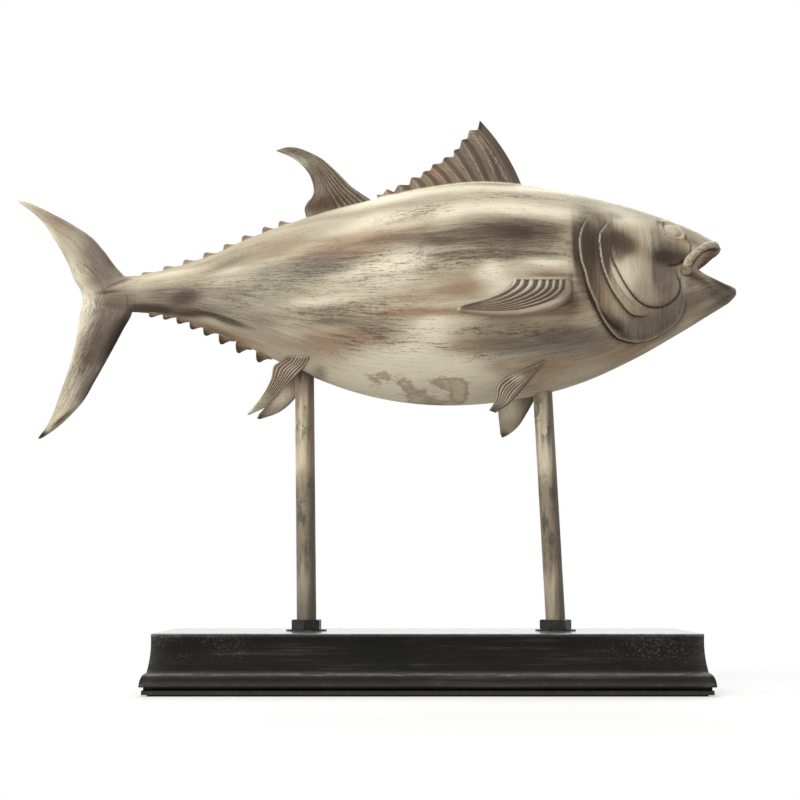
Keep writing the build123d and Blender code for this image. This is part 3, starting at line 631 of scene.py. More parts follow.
def carve(x, z):
    """Relief height in millimetres, and shares of dark wash with painted shade in recesses and of pale with
    painted highlight on ridges.

    Each line adds its formula of the distance d, faded at both ends of the line.
    """
    height, recess, ridge = np.zeros_like(x), np.zeros_like(x), np.zeros_like(x)
    d, s = line_distance(x, z, gill_line)
    f = ends(s, 0.10)
    height += f * (1.8 * smooth(-0.6, 0.5, d) * np.exp(-np.maximum(d - 0.4, 0) / 2.0)
                   - 1.3 * bump_at(d, -2.0, 2.2))
    recess += f * (0.75 * bump_at(d, -0.8, 0.8) + 0.40 * bump_at(d, -2.0, 2.2) + 0.35 * bump_at(d, 2.6, 1.6))
    ridge += f * 0.95 * bump_at(d, 0.35, 0.45)
    d, s = line_distance(x, z, cover_line)
    f = ends(s, 0.12)
    height += f * (1.4 * smooth(-0.5, 0.5, d) * np.exp(-np.maximum(d - 0.4, 0) / 2.2)
                   - 0.9 * bump_at(d, -2.0, 2.4))
    recess += f * (0.65 * bump_at(d, -0.8, 0.7) + 0.35 * bump_at(d, -2.2, 2.0) + 0.25 * bump_at(d, 2.2, 1.4))
    ridge += f * 0.95 * bump_at(d, 0.3, 0.42)
    for line, fade, deep, deep_wide, dark, dark_wide in GROOVES:
        d, s = line_distance(x, z, line)
        height -= ends(s, fade) * deep * bump_at(d, 0, deep_wide)
        recess += ends(s, fade) * dark * bump_at(d, 0, dark_wide)
    d, s = line_distance(x, z, cheek_line)
    f = ends(s, 0.10)
    height += f * (1.3 * smooth(-0.7, 1.6, d) * np.exp(-np.maximum(d - 4, 0) / 9)
                   - 0.9 * bump_at(d, -0.6, 0.9))
    recess += f * (0.80 * bump_at(d, -0.5, 0.6) + 0.22 * bump_at(d, -1.6, 2.0))
    c, n = math.cos(math.radians(eye_tilt)), math.sin(math.radians(eye_tilt))
    a = ((x - eye_centre[0]) * c + (z - eye_centre[1]) * n) / eye_half[0]
    b = ((z - eye_centre[1]) * c - (x - eye_centre[0]) * n) / eye_half[1]
    r = np.hypot(a, b)
    d, s = line_distance(x, z, brow_line)
    f = ends(s, 0.08) * (0.15 + 0.85 * smooth(1.5, 1.9, r))
    height += f * (0.7 * smooth(-0.6, 0.8, -d) * np.exp(-np.maximum(-d - 1, 0) / 5)
                   - 0.7 * bump_at(d, 0, 0.8))
    recess += f * (0.50 * bump_at(d, 0, 0.6) + 0.25 * bump_at(d, -0.6, 1.6))
    height += 1.3 * np.sqrt(np.clip(1 - (r / 1.05) ** 2, 0, 1))
    height += 0.8 * bump_at(r, 1.62, 0.22) - 0.5 * bump_at(r, 1.18, 0.14)
    recess += 0.50 * bump_at(r, 1.2, 0.13) + 0.40 * bump_at(r, 1.95, 0.16)
    ridge += 0.5 * smooth(0.9, 0.6, r) + 0.5 * bump_at(r, 1.6, 0.16)
    return height, np.clip(recess, 0, 1.2), np.clip(ridge, 0, 1)


print("height of the relief in the eye's middle:", carve(*np.array(eye_centre)[:, None])[0].round(2))

# %% [markdown]
# The brush strokes on the body, read off the picture: a dark brown band behind the
# gill, grey smudges low on the flank, a rosy patch towards the tail, green-brown water
# stains on the belly and a dark smudge under the eye. Where two strokes overlap, the later
# tone in the resin's list of washes covers the earlier one.

# %% Body strokes
BODY_STROKES = [
    # the dark band behind the gill and its tail end, which fades to brown and to grey
    ("umber", 48, 278.5, 38, 12.0, 3, 0.97), ("ink", 58, 279, 26, 7.0, 3, 0.50),
    ("umber", 8, 273.5, 30, 7.5, 5, 0.75), ("rose", -22, 276, 36, 8, 8, 0.55),
    ("umber", -26, 274, 26, 4.5, 9, 0.50), ("rose", -54, 267, 34, 9, 13, 0.85),
    ("grey", -70, 261, 26, 7, 13, 0.55), ("umber", 77, 277, 9, 7, -8, 0.50), ("rose", 46, 270, 44, 4, 0, 0.5),
    # dry brushing under the band
    ("dry", 34, 263, 60, 7, 3, 1.0), ("umber", 26, 263, 44, 4.5, 3, 0.50), ("dry", -14, 262, 40, 8, 10, 0.6),
    ("dry", 12, 256, 26, 6, 0, 0.65), ("umber", 56, 264, 14, 4, 0, 0.45), ("dry", -4, 293, 28, 8, 12, 0.95),
    ("rose", -4, 291, 14, 2, 14, 0.35), ("dry", 84, 271, 7, 14, 0, 0.6), ("dry", -26, 248, 40, 7, 8, 0.8),
    # painted shade along the gill's rear edge and above the pectoral fin's root, with brown on the gill cover
    ("shade", 91, 268, 2.2, 20, 1, 0.80), ("umber", 91.5, 266, 3, 24, 1, 0.35),
    ("umber", 108.8, 264, 4, 15, 6, 0.85), ("umber", 121, 270, 8, 6, -20, 0.8),
    ("umber", 95, 242, 2.5, 12, 14, 0.35), ("umber", 74, 250.6, 17, 1.7, 0, 0.65),
    ("umber", 87.5, 247, 1.6, 7, 0, 0.70), ("rose", 74, 252, 16, 4.5, 0, 0.6),
    # gill channel, dark with a wash and with painted shade in its hollow, second plate and cheek
    ("shade", 99.5, 270, 8, 24, 3, 0.95), ("umber", 99, 268, 9, 28, 4, 0.8),
    ("umber", 102, 246, 7, 18, 20, 0.55), ("rose", 108, 235, 7, 14, 32, 0.6),
    ("grey", 105, 291, 9, 5, -14, 0.60), ("grey", 116, 291, 8, 4, -10, 0.5),
    ("umber", 117, 274, 15, 10.5, -16, 1.0), ("shade", 113, 273, 11, 9, -14, 0.75),
    ("rose", 128, 269, 12, 7, -22, 0.6), ("rose", 112, 246, 5, 18, 24, 0.6),
    ("umber", 110, 256, 2.5, 12, 6, 0.5), ("shade", 116, 221.5, 13, 4.5, -44, 0.95),
    ("shade", 104, 233, 3, 12, 28, 0.25), ("grey", 147, 247, 9, 14, 0, 0.80),
    ("sage", 146, 262, 10, 20, 0, 0.45), ("grey", 143, 280, 7, 7, 0, 0.50),
    ("shade", 147.5, 265, 11.5, 7.5, 0, 1.0), ("ink", 147, 264, 9.5, 5.5, 0, 1.0),
    ("umber", 149, 272, 10, 8, 0, 0.70), ("grey", 148, 256, 11, 10, 0, 0.85),
    ("umber", 157, 265, 7, 6, 20, 0.55), ("rose", 158, 273, 6, 7, 0, 0.7),
    ("umber", 110, 286, 7, 5, -30, 0.6), ("umber", 117, 263, 5, 6, -20, 0.6),
    ("grey", 141, 256, 3.0, 13, 0, 0.80), ("umber", 158, 264, 7, 6, 20, 0.8),
    ("umber", 168, 252, 10, 3.2, -22, 0.8), ("umber", 146.5, 288.3, 3, 2.6, 0, 0.9),
    # painted shade under the chin: the grey stroke at 188, 243
    ("grey", 188, 243, 8, 6, 20, 0.6), ("sage", 140, 286, 14, 8, -16, 0.45),
    ("grey", 166, 276, 8, 5, -34, 0.5), ("grey", 136, 223, 24, 9, 6, 0.75),
    ("grey", 150, 228, 12, 11, 30, 0.60), ("umber", 134, 216, 24, 4, 4, 0.45),
    ("grey", 157, 238, 5, 8, 0, 0.6), ("rose", 138, 233, 14, 3, 10, 0.55),
    ("sage", 122, 297, 26, 5, -14, 0.5),
    # lower jaw and chin
    ("grey", 174, 243, 20, 9, 30, 0.60), ("grey", 186, 245, 12, 7, 0, 0.60),
    ("sage", 172, 246, 12, 5, -20, 0.5), ("rose", 164, 237, 8, 9, 0, 0.75),
    ("umber", 180, 236, 18, 3, 34, 0.55), ("dry", 178, 246, 16, 5, -24, 0.9),
    ("umber", 184, 249.5, 12, 2, -22, 0.7), ("rose", 130, 208, 30, 5, 22, 0.55),
    ("pale", 150, 214, 14, 3.5, 28, 0.6), ("umber", 163, 250, 5, 6, 0, 0.5),
    # grey and rosy washes low on the flank
    ("grey", 56, 209, 40, 10, 3, 0.62), ("grey", 92, 214, 28, 9, 2, 0.85), ("rose", 28, 208, 22, 6, 3, 0.75),
    ("umber", 66, 209, 30, 6, 3, 0.32), ("dry", 64, 216, 26, 3, 2, 1.0), ("dry", 30, 217, 16, 3, 2, 0.95),
    ("dry", 33, 202, 16, 2.5, 0, 0.95), ("dry", 10, 207.7, 14, 3, 0, 0.95), ("rose", 60, 219, 34, 5, 2, 0.6),
    # painted shade under the pectoral fin: the long rose line at z 228 here and the thin umber line at z 228
    # two lines down
    ("rose", 10, 228, 84, 3.4, 1, 0.85), ("umber", -54, 223, 34, 3.6, 3, 0.55),
    ("umber", 88, 236, 9, 10, 10, 0.65), ("rose", 84, 230, 17, 9, 0, 0.75),
    ("umber", 40, 228, 46, 2, 1, 0.35), ("rose", 72, 197, 24, 7, 8, 0.70),
    ("rose", 100, 200, 36, 10, 18, 0.45), ("grey", 96, 206, 30, 5, 10, 0.35),
    ("pale", 100, 196, 24, 5, 16, 0.5), ("rose", 44, 196, 12, 5, 0, 0.6), ("rose", 64, 184, 20, 6, 14, 0.5),
    ("rose", 24, 243, 16, 7, 15, 0.75), ("rose", -6, 237, 36, 6, 6, 0.60), ("grey", -10, 247, 34, 6, 6, 0.20),
    ("pale", -12, 259, 20, 7, 20, 0.70), ("pale", -20, 246, 24, 5, 10, 0.50),
    ("umber", -30, 219, 26, 7, 4, 0.45), ("rose", -44, 213, 36, 10, 5, 0.80),
    ("dry", -30, 212, 34, 10, 6, 0.90), ("grey", -48, 231, 34, 4.5, 3, 0.50),
    ("dry", -50, 230, 48, 6, 3, 1.0), ("rose", -58, 201, 20, 9, -10, 0.40),
    ("pale", -54, 199, 16, 6, -8, 0.6),
    # the flank towards the tail
    ("sage", -96, 245, 44, 16, 12, 0.85), ("dry", -80, 251, 44, 12, 14, 0.85),
    ("dry", -118, 241, 34, 11, 10, 0.75), ("grey", -124, 240, 20, 9, 6, 0.38),
    ("pale", -120, 257, 14, 3, 8, 0.50), ("grey", -97, 257, 12, 5, 12, 0.40),
    ("rose", -36, 267, 20, 5, 10, 0.60), ("rose", -90, 272, 26, 7, 17, 0.60),
    ("sage", -64, 256, 36, 9, 12, 0.85), ("grey", -64, 256, 32, 8, 12, 0.62),
    ("grey", -120, 263, 18, 4, 18, 0.55), ("grey", -167, 245, 12, 6, 4, 0.65),
    # painted highlight along the back's top edge: the pale stroke at -30, 302
    ("grey", -136, 233, 20, 4, -4, 0.6), ("pale", -30, 302, 50, 5, 12, 0.80),
    ("grey", -150, 242, 17, 8.5, 8, 0.95), ("umber", -150, 242, 12, 5.5, 8, 0.65),
    ("umber", -168, 235, 14, 3.5, -2, 0.95), ("umber", -146, 232, 18, 2.2, -6, 0.95),
    ("umber", -122, 226, 18, 2.2, -20, 0.85), ("rose", -130, 221, 30, 4, -20, 0.85),
    ("umber", -131, 221, 18, 2.5, -20, 0.5), ("rose", -94, 208, 28, 8, -24, 0.45),
    ("pale", -84, 202, 26, 6, -24, 0.6), ("sage", -174, 243, 14, 8, 4, 0.50),
    ("dry", -150, 247, 30, 8, 8, 0.8), ("grey", -104, 226, 24, 7, -8, 0.55),
    ("rose", -66, 212, 18, 8, -8, 0.55),
    # the back, with a painted highlight along its top edge
    ("sage", 50, 305, 46, 5, -2, 0.55), ("dry", 52, 304, 42, 4, -2, 0.85), ("pale", 30, 310, 90, 4, -1, 0.9),
    ("pale", 14, 291, 16, 5, 8, 0.8), ("sage", 96, 299, 22, 8, -12, 0.35), ("dry", -110, 270, 50, 6, 18, 0.5),
    # water stains on the belly
    ("stain", -28, 191, 9, 4.5, -10, 0.55), ("stain", -12, 185, 8, 4, -40, 0.75),
    ("stain", -5, 179, 8, 3.6, -20, 0.95), ("stain", 5, 184, 9, 4, 20, 0.35),
    ("stain", 14, 186, 9, 4.5, 0, 0.65), ("stain", 21, 181, 5.5, 6.5, 20, 0.95),
    ("stain", 8, 176, 14, 3, 0, 0.85), ("umber", 6, 175.6, 16, 1.6, -4, 0.60),
    ("ink", 10, 173.6, 9, 1.6, 2, 1.0),
    # pale places: rubbed paint, with painted highlight on the head's top and low on the belly
    ("pale", 38, 251, 13, 8, 38, 0.90), ("pale", 45, 244, 9, 6, 40, 0.60), ("pale", -28, 289, 40, 5, 9, 0.70),
    ("pale", 60, 293, 54, 6, -4, 0.95), ("pale", 122, 251, 10, 15, -16, 0.55),
    ("pale", 126, 290, 18, 7, -15, 0.75), ("pale", 74, 258.5, 16, 4.5, 0, 0.85),
    ("pale", -30, 256, 36, 5, 12, 0.80), ("pale", -4, 206, 26, 13, 36, 0.95),
    ("pale", 2, 222, 18, 6, 30, 0.75), ("pale", 13, 196, 16, 9, 0, 0.80), ("pale", -30, 190, 22, 8, -6, 0.75),
    ("pale", -68, 235, 26, 4, 3, 0.75), ("pale", -110, 268, 46, 3.5, 16, 0.30),
    ("sage", -80, 277, 52, 6, 17, 0.65), ("pale", -44, 282, 28, 4, 10, 0.50),
    ("pale", -160, 257, 24, 3.0, 8, 0.70), ("pale", 118, 296, 12, 3, -14, 0.5),
    ("umber", 175, 265.5, 13, 3.4, 42, 0.75), ("rose", 176, 266, 15, 5, 42, 0.9),
    ("pale", -5, 178, 60, 8, 2, 0.55), ("pale", -16, 197, 72, 17, -4, 0.90),
    ("pale", -44, 193, 20, 9, -8, 0.80), ("pale", -80, 200, 10, 6, -20, 0.70),
    ("umber", -170, 237, 12, 3, 0, 0.60), ("pale", 34, 196, 16, 12, 0, 0.30),
    ("umber", -66, 194, 6, 6, -30, 0.50), ("pale", -106, 240, 13, 5, 4, 0.40),
    ("sage", -138, 236, 13, 4, -4, 0.60), ("umber", 62, 271, 18, 3.6, 0, 0.50),
    ("umber", 48, 261, 8, 3.2, 0, 0.55), ("umber", 74, 262.5, 11, 3, 0, 0.55),
    ("pale", 46, 241, 12, 5, 20, 0.50), ("pale", -14, 283, 22, 3.2, 8, 0.50),
    ("umber", 139.5, 263, 1.8, 24, 0, 0.50), ("sage", 131, 262, 9, 13, 0, 0.45),
]
TAIL_JOINT_STROKES = [("grey", -188, 243, 14, 8, 4, 0.50), ("umber", -179, 236, 8, 5, 0, 0.80)]
print("strokes on the body:", len(BODY_STROKES) + len(TAIL_JOINT_STROKES))

# %% [markdown]
# Now the skin itself: rings from the tail joint to the neck, then finer rings up to the
# mouth's rim, where each line of the skin ends at its own place. Relief is added along the
# outward direction: the head's carving, a keel and a crease on the stem of the tail, and
# low waves that keep the cast surface from looking machined.

# %% Rings and relief of the body
rear_rows, head_rows, web_columns = 112, 172, 14
rear_x = np.linspace(lows[0, 0], neck_x, rear_rows)
rear_u = np.interp(rear_x, dense_middle[:, 0], dense_u)
rear_u[0] = 0
share = np.arange(1, head_rows + 1)[:, None] / head_rows
u_grid = np.vstack([np.repeat(rear_u[:, None], columns, 1), neck_u + (rim_u - neck_u)[None, :] * share])
theta_grid = np.repeat(theta[None, :], len(u_grid), 0)
skin = ring(u_grid, theta_grid)
outward = normals_of(np.concatenate([skin[:, -1:], skin, skin[:, :1]], 1))[:, 1:-1]
broad_row = 100
if (outward[broad_row, :, 1] * skin[broad_row, :, 1]).sum() < 0:
    outward = -outward
X, Y, Z = skin[..., 0], skin[..., 1], skin[..., 2]

relief, recess, ridge = np.zeros_like(X), np.zeros_like(X), np.zeros_like(X)
head = slice(rear_rows - 8, None)
relief[head], recess[head], ridge[head] = carve(X[head], Z[head])
stem = slice(0, 40)
d, s = line_distance(X[stem], Z[stem], keel_line)
relief[stem] += 1.1 * bump_at(d, 0, 2.6) * smooth(1, 0.5, s)
ridge[stem] += 0.5 * bump_at(d, 0.3, 1.6) * smooth(1, 0.6, s)
d, s = line_distance(X[stem], Z[stem], stem_line)
relief[stem] -= ends(s, 0.3) * 0.7 * bump_at(d, 0, 1.4)
recess[stem] += ends(s, 0.3) * 0.5 * bump_at(d, 0, 1.2)
side = np.sign(Y)
away = smooth(0.02, 0.25, np.abs(np.cos(theta_grid)))
relief *= away
wave = (np.sin(X / 13 + 2.1 * np.sin(Z / 17) + side) * np.sin(Z / 9 + X / 41 + 0.7 * side)
        + 0.6 * np.sin(X / 6.3 + Z / 5.1 + 1.7 * side) * np.sin(Z / 4.7 - X / 21))
relief += 0.16 * wave * away
relief *= smooth(0, 8, X - tail_joint_x)
print("relief from", relief.min().round(2), "to", relief.max().round(2), "mm")

# %% [markdown]
# Both jaws round off towards their tips: a quarter of a circle narrows and flattens them.
# The rim of the mouth turns inward with a small radius, and a folded web between both sides
# is the floor and the palate of the mouth, hollowed a little backwards.

# %% Jaws and mouth
def round_jaw(here, start_x, length, tip_z, lower, narrow):
    """Where here holds, draw Z towards tip_z by lower * turn, and Y towards 0 by narrow * turn.

    turn = 1 - sqrt(1 - t^2), with t from 0 at start_x to 1 at the end of the length.
    """
    turn = 1 - np.sqrt(1 - np.clip((X - start_x) / length, 0, 1) ** 2)
    skin[..., 2] = np.where(here, Z + (tip_z - Z) * lower * turn, Z)
    skin[..., 1] = np.where(here, Y * (1 - narrow * turn), Y)


lower_jaw_top, upper_jaw_low = 256, 265
round_jaw(Z < lower_jaw_top, 190.0, 7.2, 249.6, 0.80, 0.80)
round_jaw(Z > upper_jaw_low, 180.5, 6.6, 275.2, 0.60, 0.65)
steps = np.linalg.norm(np.diff(skin, axis=0), axis=2)
to_rim = np.vstack([np.cumsum(steps[::-1], axis=0)[::-1], np.zeros((1, columns))])
rim_radius = 2.4
near_rim = np.clip(1 - to_rim / rim_radius, 0, 1)
relief -= rim_radius * (1 - np.sqrt(1 - near_rim ** 2)) * 0.9
skin = skin + outward * relief[..., None]

tail_pole = np.repeat(skin[:1].mean(axis=1, keepdims=True), columns, 1)
grid = np.concatenate([tail_pole, skin])
faces = [grid_faces(len(grid), columns, around=True)]
half = columns // 2
near_rim_points = skin[-1, :half + 1]
far_rim_points = np.vstack([skin[-1, :1], skin[-1, :half - 1:-1]])
blend = np.linspace(0, 1, web_columns)[None, :, None]
web = near_rim_points[:, None] * (1 - blend) + far_rim_points[:, None] * blend
hollow = np.sin(np.pi * np.linspace(0, 1, half + 1)) ** 0.7
web[..., 0] -= 7.0 * hollow[:, None] * (1 - (2 * blend[..., 0] - 1) ** 2)
faces.append(grid_faces(half + 1, web_columns, first=len(grid) * columns)[:, ::-1])
body_points = np.vstack([grid.reshape(-1, 3), web.reshape(-1, 3)])
print("body skin:", len(body_points), "points before welding")

# %% [markdown]
# The near side gets the strokes as seen. The far side gets them moved a little, so that the
# two flanks aren't mirror images. On the body the flow runs round it like the rings of the
# skin, and on the gill cover it stands upright, because that is how the brush was held.

# %% Paint of the body
masks = washes(X, Z, BODY_STROKES + TAIL_JOINT_STROKES)
far_masks = washes(X * 0.97 + 9, Z + 3 * np.sin(X / 40), BODY_STROKES)
left = smooth(-0.5, 0.5, Y)
blank = np.zeros((half + 1) * web_columns)
values = {}
for tone in TONES:
    both = masks[tone] * (1 - left) + far_masks[tone] * 0.9 * left
    filled = np.vstack([both[:1], both])
    # inside the mouth the web gets umber and a recess wash of 0.5: painted shade in the open mouth
    values[tone] = np.concatenate([filled.ravel(), blank + (0.75 if tone == "umber" else 0)])
values["recess"] = np.concatenate([np.vstack([recess[:1], recess]).ravel(), blank + 0.5])
values["ridge"] = np.concatenate([np.vstack([ridge[:1], ridge]).ravel(), blank])
flow_round = 60.0
flow = np.stack([X, -flow_round * np.cos(theta_grid), flow_round * np.sin(theta_grid)], -1)
gill = np.array(gill_line)
behind, below = gill[:10][::-1], gill[9:15]
in_cover = ((X[head] > np.interp(Z[head], behind[:, 1], behind[:, 0])) & (X[head] < 160) & (Z[head] < 292)
            & (Z[head] > np.interp(X[head], below[:, 0], below[:, 1], left=216)))
upright_flow = np.stack([Z[head], 200 + X[head], np.sign(Y[head]) * 30], -1)
flow[head] = np.where(in_cover[..., None], upright_flow, flow[head])
flow = np.vstack([np.concatenate([flow[:1], flow]).reshape(-1, 3), web.reshape(-1, 3)])
add_piece("fish_skin", body_points, np.vstack(faces), resin, values, flow, ("fish_body",))

# %% [markdown]
# The upper lip is a thick roll that starts in a small bulb at the corner of the mouth,
# swells, and passes round the snout to the other side. It is a tube along a curve. A curve
# object with a bevel would do, but here the turn round the tube also tells where painted
# shade goes, below, and where the roll gets painted highlight, above.

# %% Lips
def tube(path, radii, turns, rows):
    """Skin of a tube: path point + radius * (cos * side + sin * up), rounded at both ends."""
    s = np.linspace(0, 1, rows)
    p = even_curve(path, s)
    r = even_curve(np.stack([np.linspace(0, 1, len(radii)), radii], -1), s)[:, 1]
    ahead = np.gradient(p, axis=0)
    ahead /= np.linalg.norm(ahead, axis=1, keepdims=True)
    length = reach_along(p, 0)[-1]
    tip = np.minimum(s, 1 - s) * length / np.maximum(r, 0.1)
    r = r * np.sqrt(1 - np.clip(1 - tip, 0, 1) ** 2)
    across = np.cross(ahead, (0, 0, 1.0))
    across /= np.linalg.norm(across, axis=1, keepdims=True)
    up = np.cross(across, ahead)
    a = 2 * np.pi * np.arange(turns) / turns
    return p[:, None] + r[:, None, None] * (np.cos(a)[None, :, None] * across[:, None]
                                            + np.sin(a)[None, :, None] * up[:, None])


lip_side = [(162.6, 254.4), (161.0, 257.2), (161.5, 261.0), (164.8, 265.4), (169.8, 270.0), (175.2, 273.2),
            (179.8, 274.2)]
lip_near = [(x, -flank_y(x, z) * 0.985, z) for x, z in lip_side]
lip_path = lip_near + [(182.6, -5.5, 273.6), (183.6, 0.0, 274.0), (182.6, 5.5, 273.6)]
lip_path += [(x, -y, z) for x, y, z in reversed(lip_near)]
lip_radii = [2.6, 3.3, 2.5, 2.9, 3.4, 3.4, 3.1, 2.8, 2.6, 2.8, 3.1, 3.4, 3.4, 2.9, 2.5, 3.3, 2.6]
lip_rows, lip_turns = 150, 28
lip = tube(lip_path, lip_radii, lip_turns, lip_rows)
lip_turn = np.tile(2 * np.pi * np.arange(lip_turns) / lip_turns, (lip_rows, 1))
lip_values = {tone: np.zeros(lip.shape[:2]) for tone in TONES}
lip_share = np.minimum(np.arange(lip_rows), np.arange(lip_rows)[::-1])[:, None] / lip_rows
lip_body = smooth(0.02, 0.06, lip_share)
lip_values["rose"] += 0.35
lip_values["dry"] += 0.9
# painted shade on the lip's underside (umber and the recess wash) and painted highlight on its top (pale and
# the ridge value)
lip_values["umber"] = 0.85 * smooth(0.0, 0.9, -np.sin(lip_turn)) * lip_body + 0.25
lip_values["pale"] = 0.55 * smooth(0.2, 0.9, np.cos(lip_turn - 0.6))
lip_values["recess"] = 0.9 * smooth(0.45, 0.95, -np.sin(lip_turn + 0.4)) * lip_body
lip_values["ridge"] = 0.5 * smooth(0.5, 1.0, np.sin(lip_turn))
add_piece("lips", lip, grid_faces(lip_rows, lip_turns, around=True), resin, lip_values, lip)

# %% [markdown]
# Finlets are the small hooked teeth on the back and under the tail stem. Their rear edge
# is steep and their front side long. One tooth is a tapered fold, and both rows repeat it
# at measured places with a growing height. All of them are one mesh, since they are cast
# with the body.

# %% Finlets
UPPER_FINLETS = [(-178.1, 0.40), (-164.3, 0.60), (-151.8, 0.75), (-139.0, 0.85), (-126.4, 0.90),
                 (-114.8, 0.95), (-101.9, 1.0), (-91.6, 1.0)]
LOWER_FINLETS = [(-172.8, 0.40), (-164.0, 0.50), (-155.3, 0.60), (-146.9, 0.70), (-138.2, 0.78),
                 (-128.2, 0.95), (-117.4, 1.0), (-104.6, 0.95)]
upper_finlet_height, lower_finlet_height = 4.0, 6.6
finlet_rows, finlet_columns = 9, 48
finlet_outline = np.array([(-1.8, -3.0), (-1.2, -0.9), (-1.3, 0.2), (-1.0, 0.85), (-0.1, 1.05), (1.4, 0.98),
                           (3.4, 0.66), (6.2, 0.26), (9.0, -0.2), (12.0, -3.0)])


def finlet(x, surface, rise):
    """One tooth: an outline above the surface, swept to a thin crest; rows from base to crest.

    Half thickness = 2.4 * sqrt(1 - v^1.8) * sin(pi s)^0.4, with v up the tooth and s along it.
    """
    s = np.linspace(0, 1, finlet_columns)
    edge = even_curve(finlet_outline, s)
    ez = np.where(edge[:, 1] < 0, np.sign(rise) * edge[:, 1], edge[:, 1] * rise)
    v = np.linspace(0, 1, finlet_rows)[:, None]
    base_z = -np.sign(rise) * 3.0
    px = edge[None, :, 0] * (0.94 + 0.06 * v) - 0.12 * np.abs(rise) * v * (edge[None, :, 1] > 0.3)
    pz = base_z + (ez - base_z)[None, :] * v
    half = 2.4 * np.sqrt(np.clip(1 - v ** 1.8, 0, 1)) * np.sin(np.pi * s)[None, :] ** 0.4
    return x + px, half, surface(x + px) + pz


points, faces, count, rears = [], [], 0, []
for row, surface, sign, size in ((UPPER_FINLETS, back_z, 1, upper_finlet_height),
                                 (LOWER_FINLETS, belly_z, -1, lower_finlet_height)):
    for x, amount in row:
        fx, half, fz = finlet(x, surface, sign * amount * size)
        for face_side in (-1, 1):
            points.append(np.stack([fx, face_side * half, fz], -1).reshape(-1, 3))
            rears.append(np.tile(1 - smooth(0.12, 0.55, np.linspace(0, 1, finlet_columns)), finlet_rows))
            quads = grid_faces(*fx.shape, first=count)
            faces.append(quads if face_side * sign > 0 else quads[:, ::-1])
            count += fx.size
points, rear_face = np.vstack(points), np.concatenate(rears)
top_z, low_z = back_z(points[:, 0]), belly_z(points[:, 0])
above_skin = np.abs(points[:, 2] - (top_z + low_z) / 2) - (top_z - low_z) / 2
fade = np.clip(above_skin / 4.0, 0, 1)
under = points[:, 2] < 244
finlet_values = {tone: 0 * fade for tone in TONES}
# painted shade: umber and shade darken the teeth's steep rear faces, and the lower row under the stem more;
# the front faces get the ridge value, a painted highlight
finlet_values.update({
    "umber": (0.20 + 0.35 * under) * fade + 0.75 * rear_face * fade, "rose": 0.75 + 0 * fade,
    "grey": 0.30 * fade, "shade": 0.45 * rear_face * fade * under,
    "ridge": 0.25 * fade * (1 - rear_face), "dry": 0.5 + 0 * fade,
})
add_piece("finlets", points, np.vstack(faces), resin, finlet_values, points)

# %% [markdown]
# A fin is a thin blade between two edge curves, front and rear, both running from the
# root to the tip. One parameter runs along the rays and the other from edge to edge. Two
# skins stand off the middle surface and meet at the rim, and the rays are low ridges. One
# function makes all eight fins, because the real ones differ only in outline, in the number
# of their rays and in how they are painted.

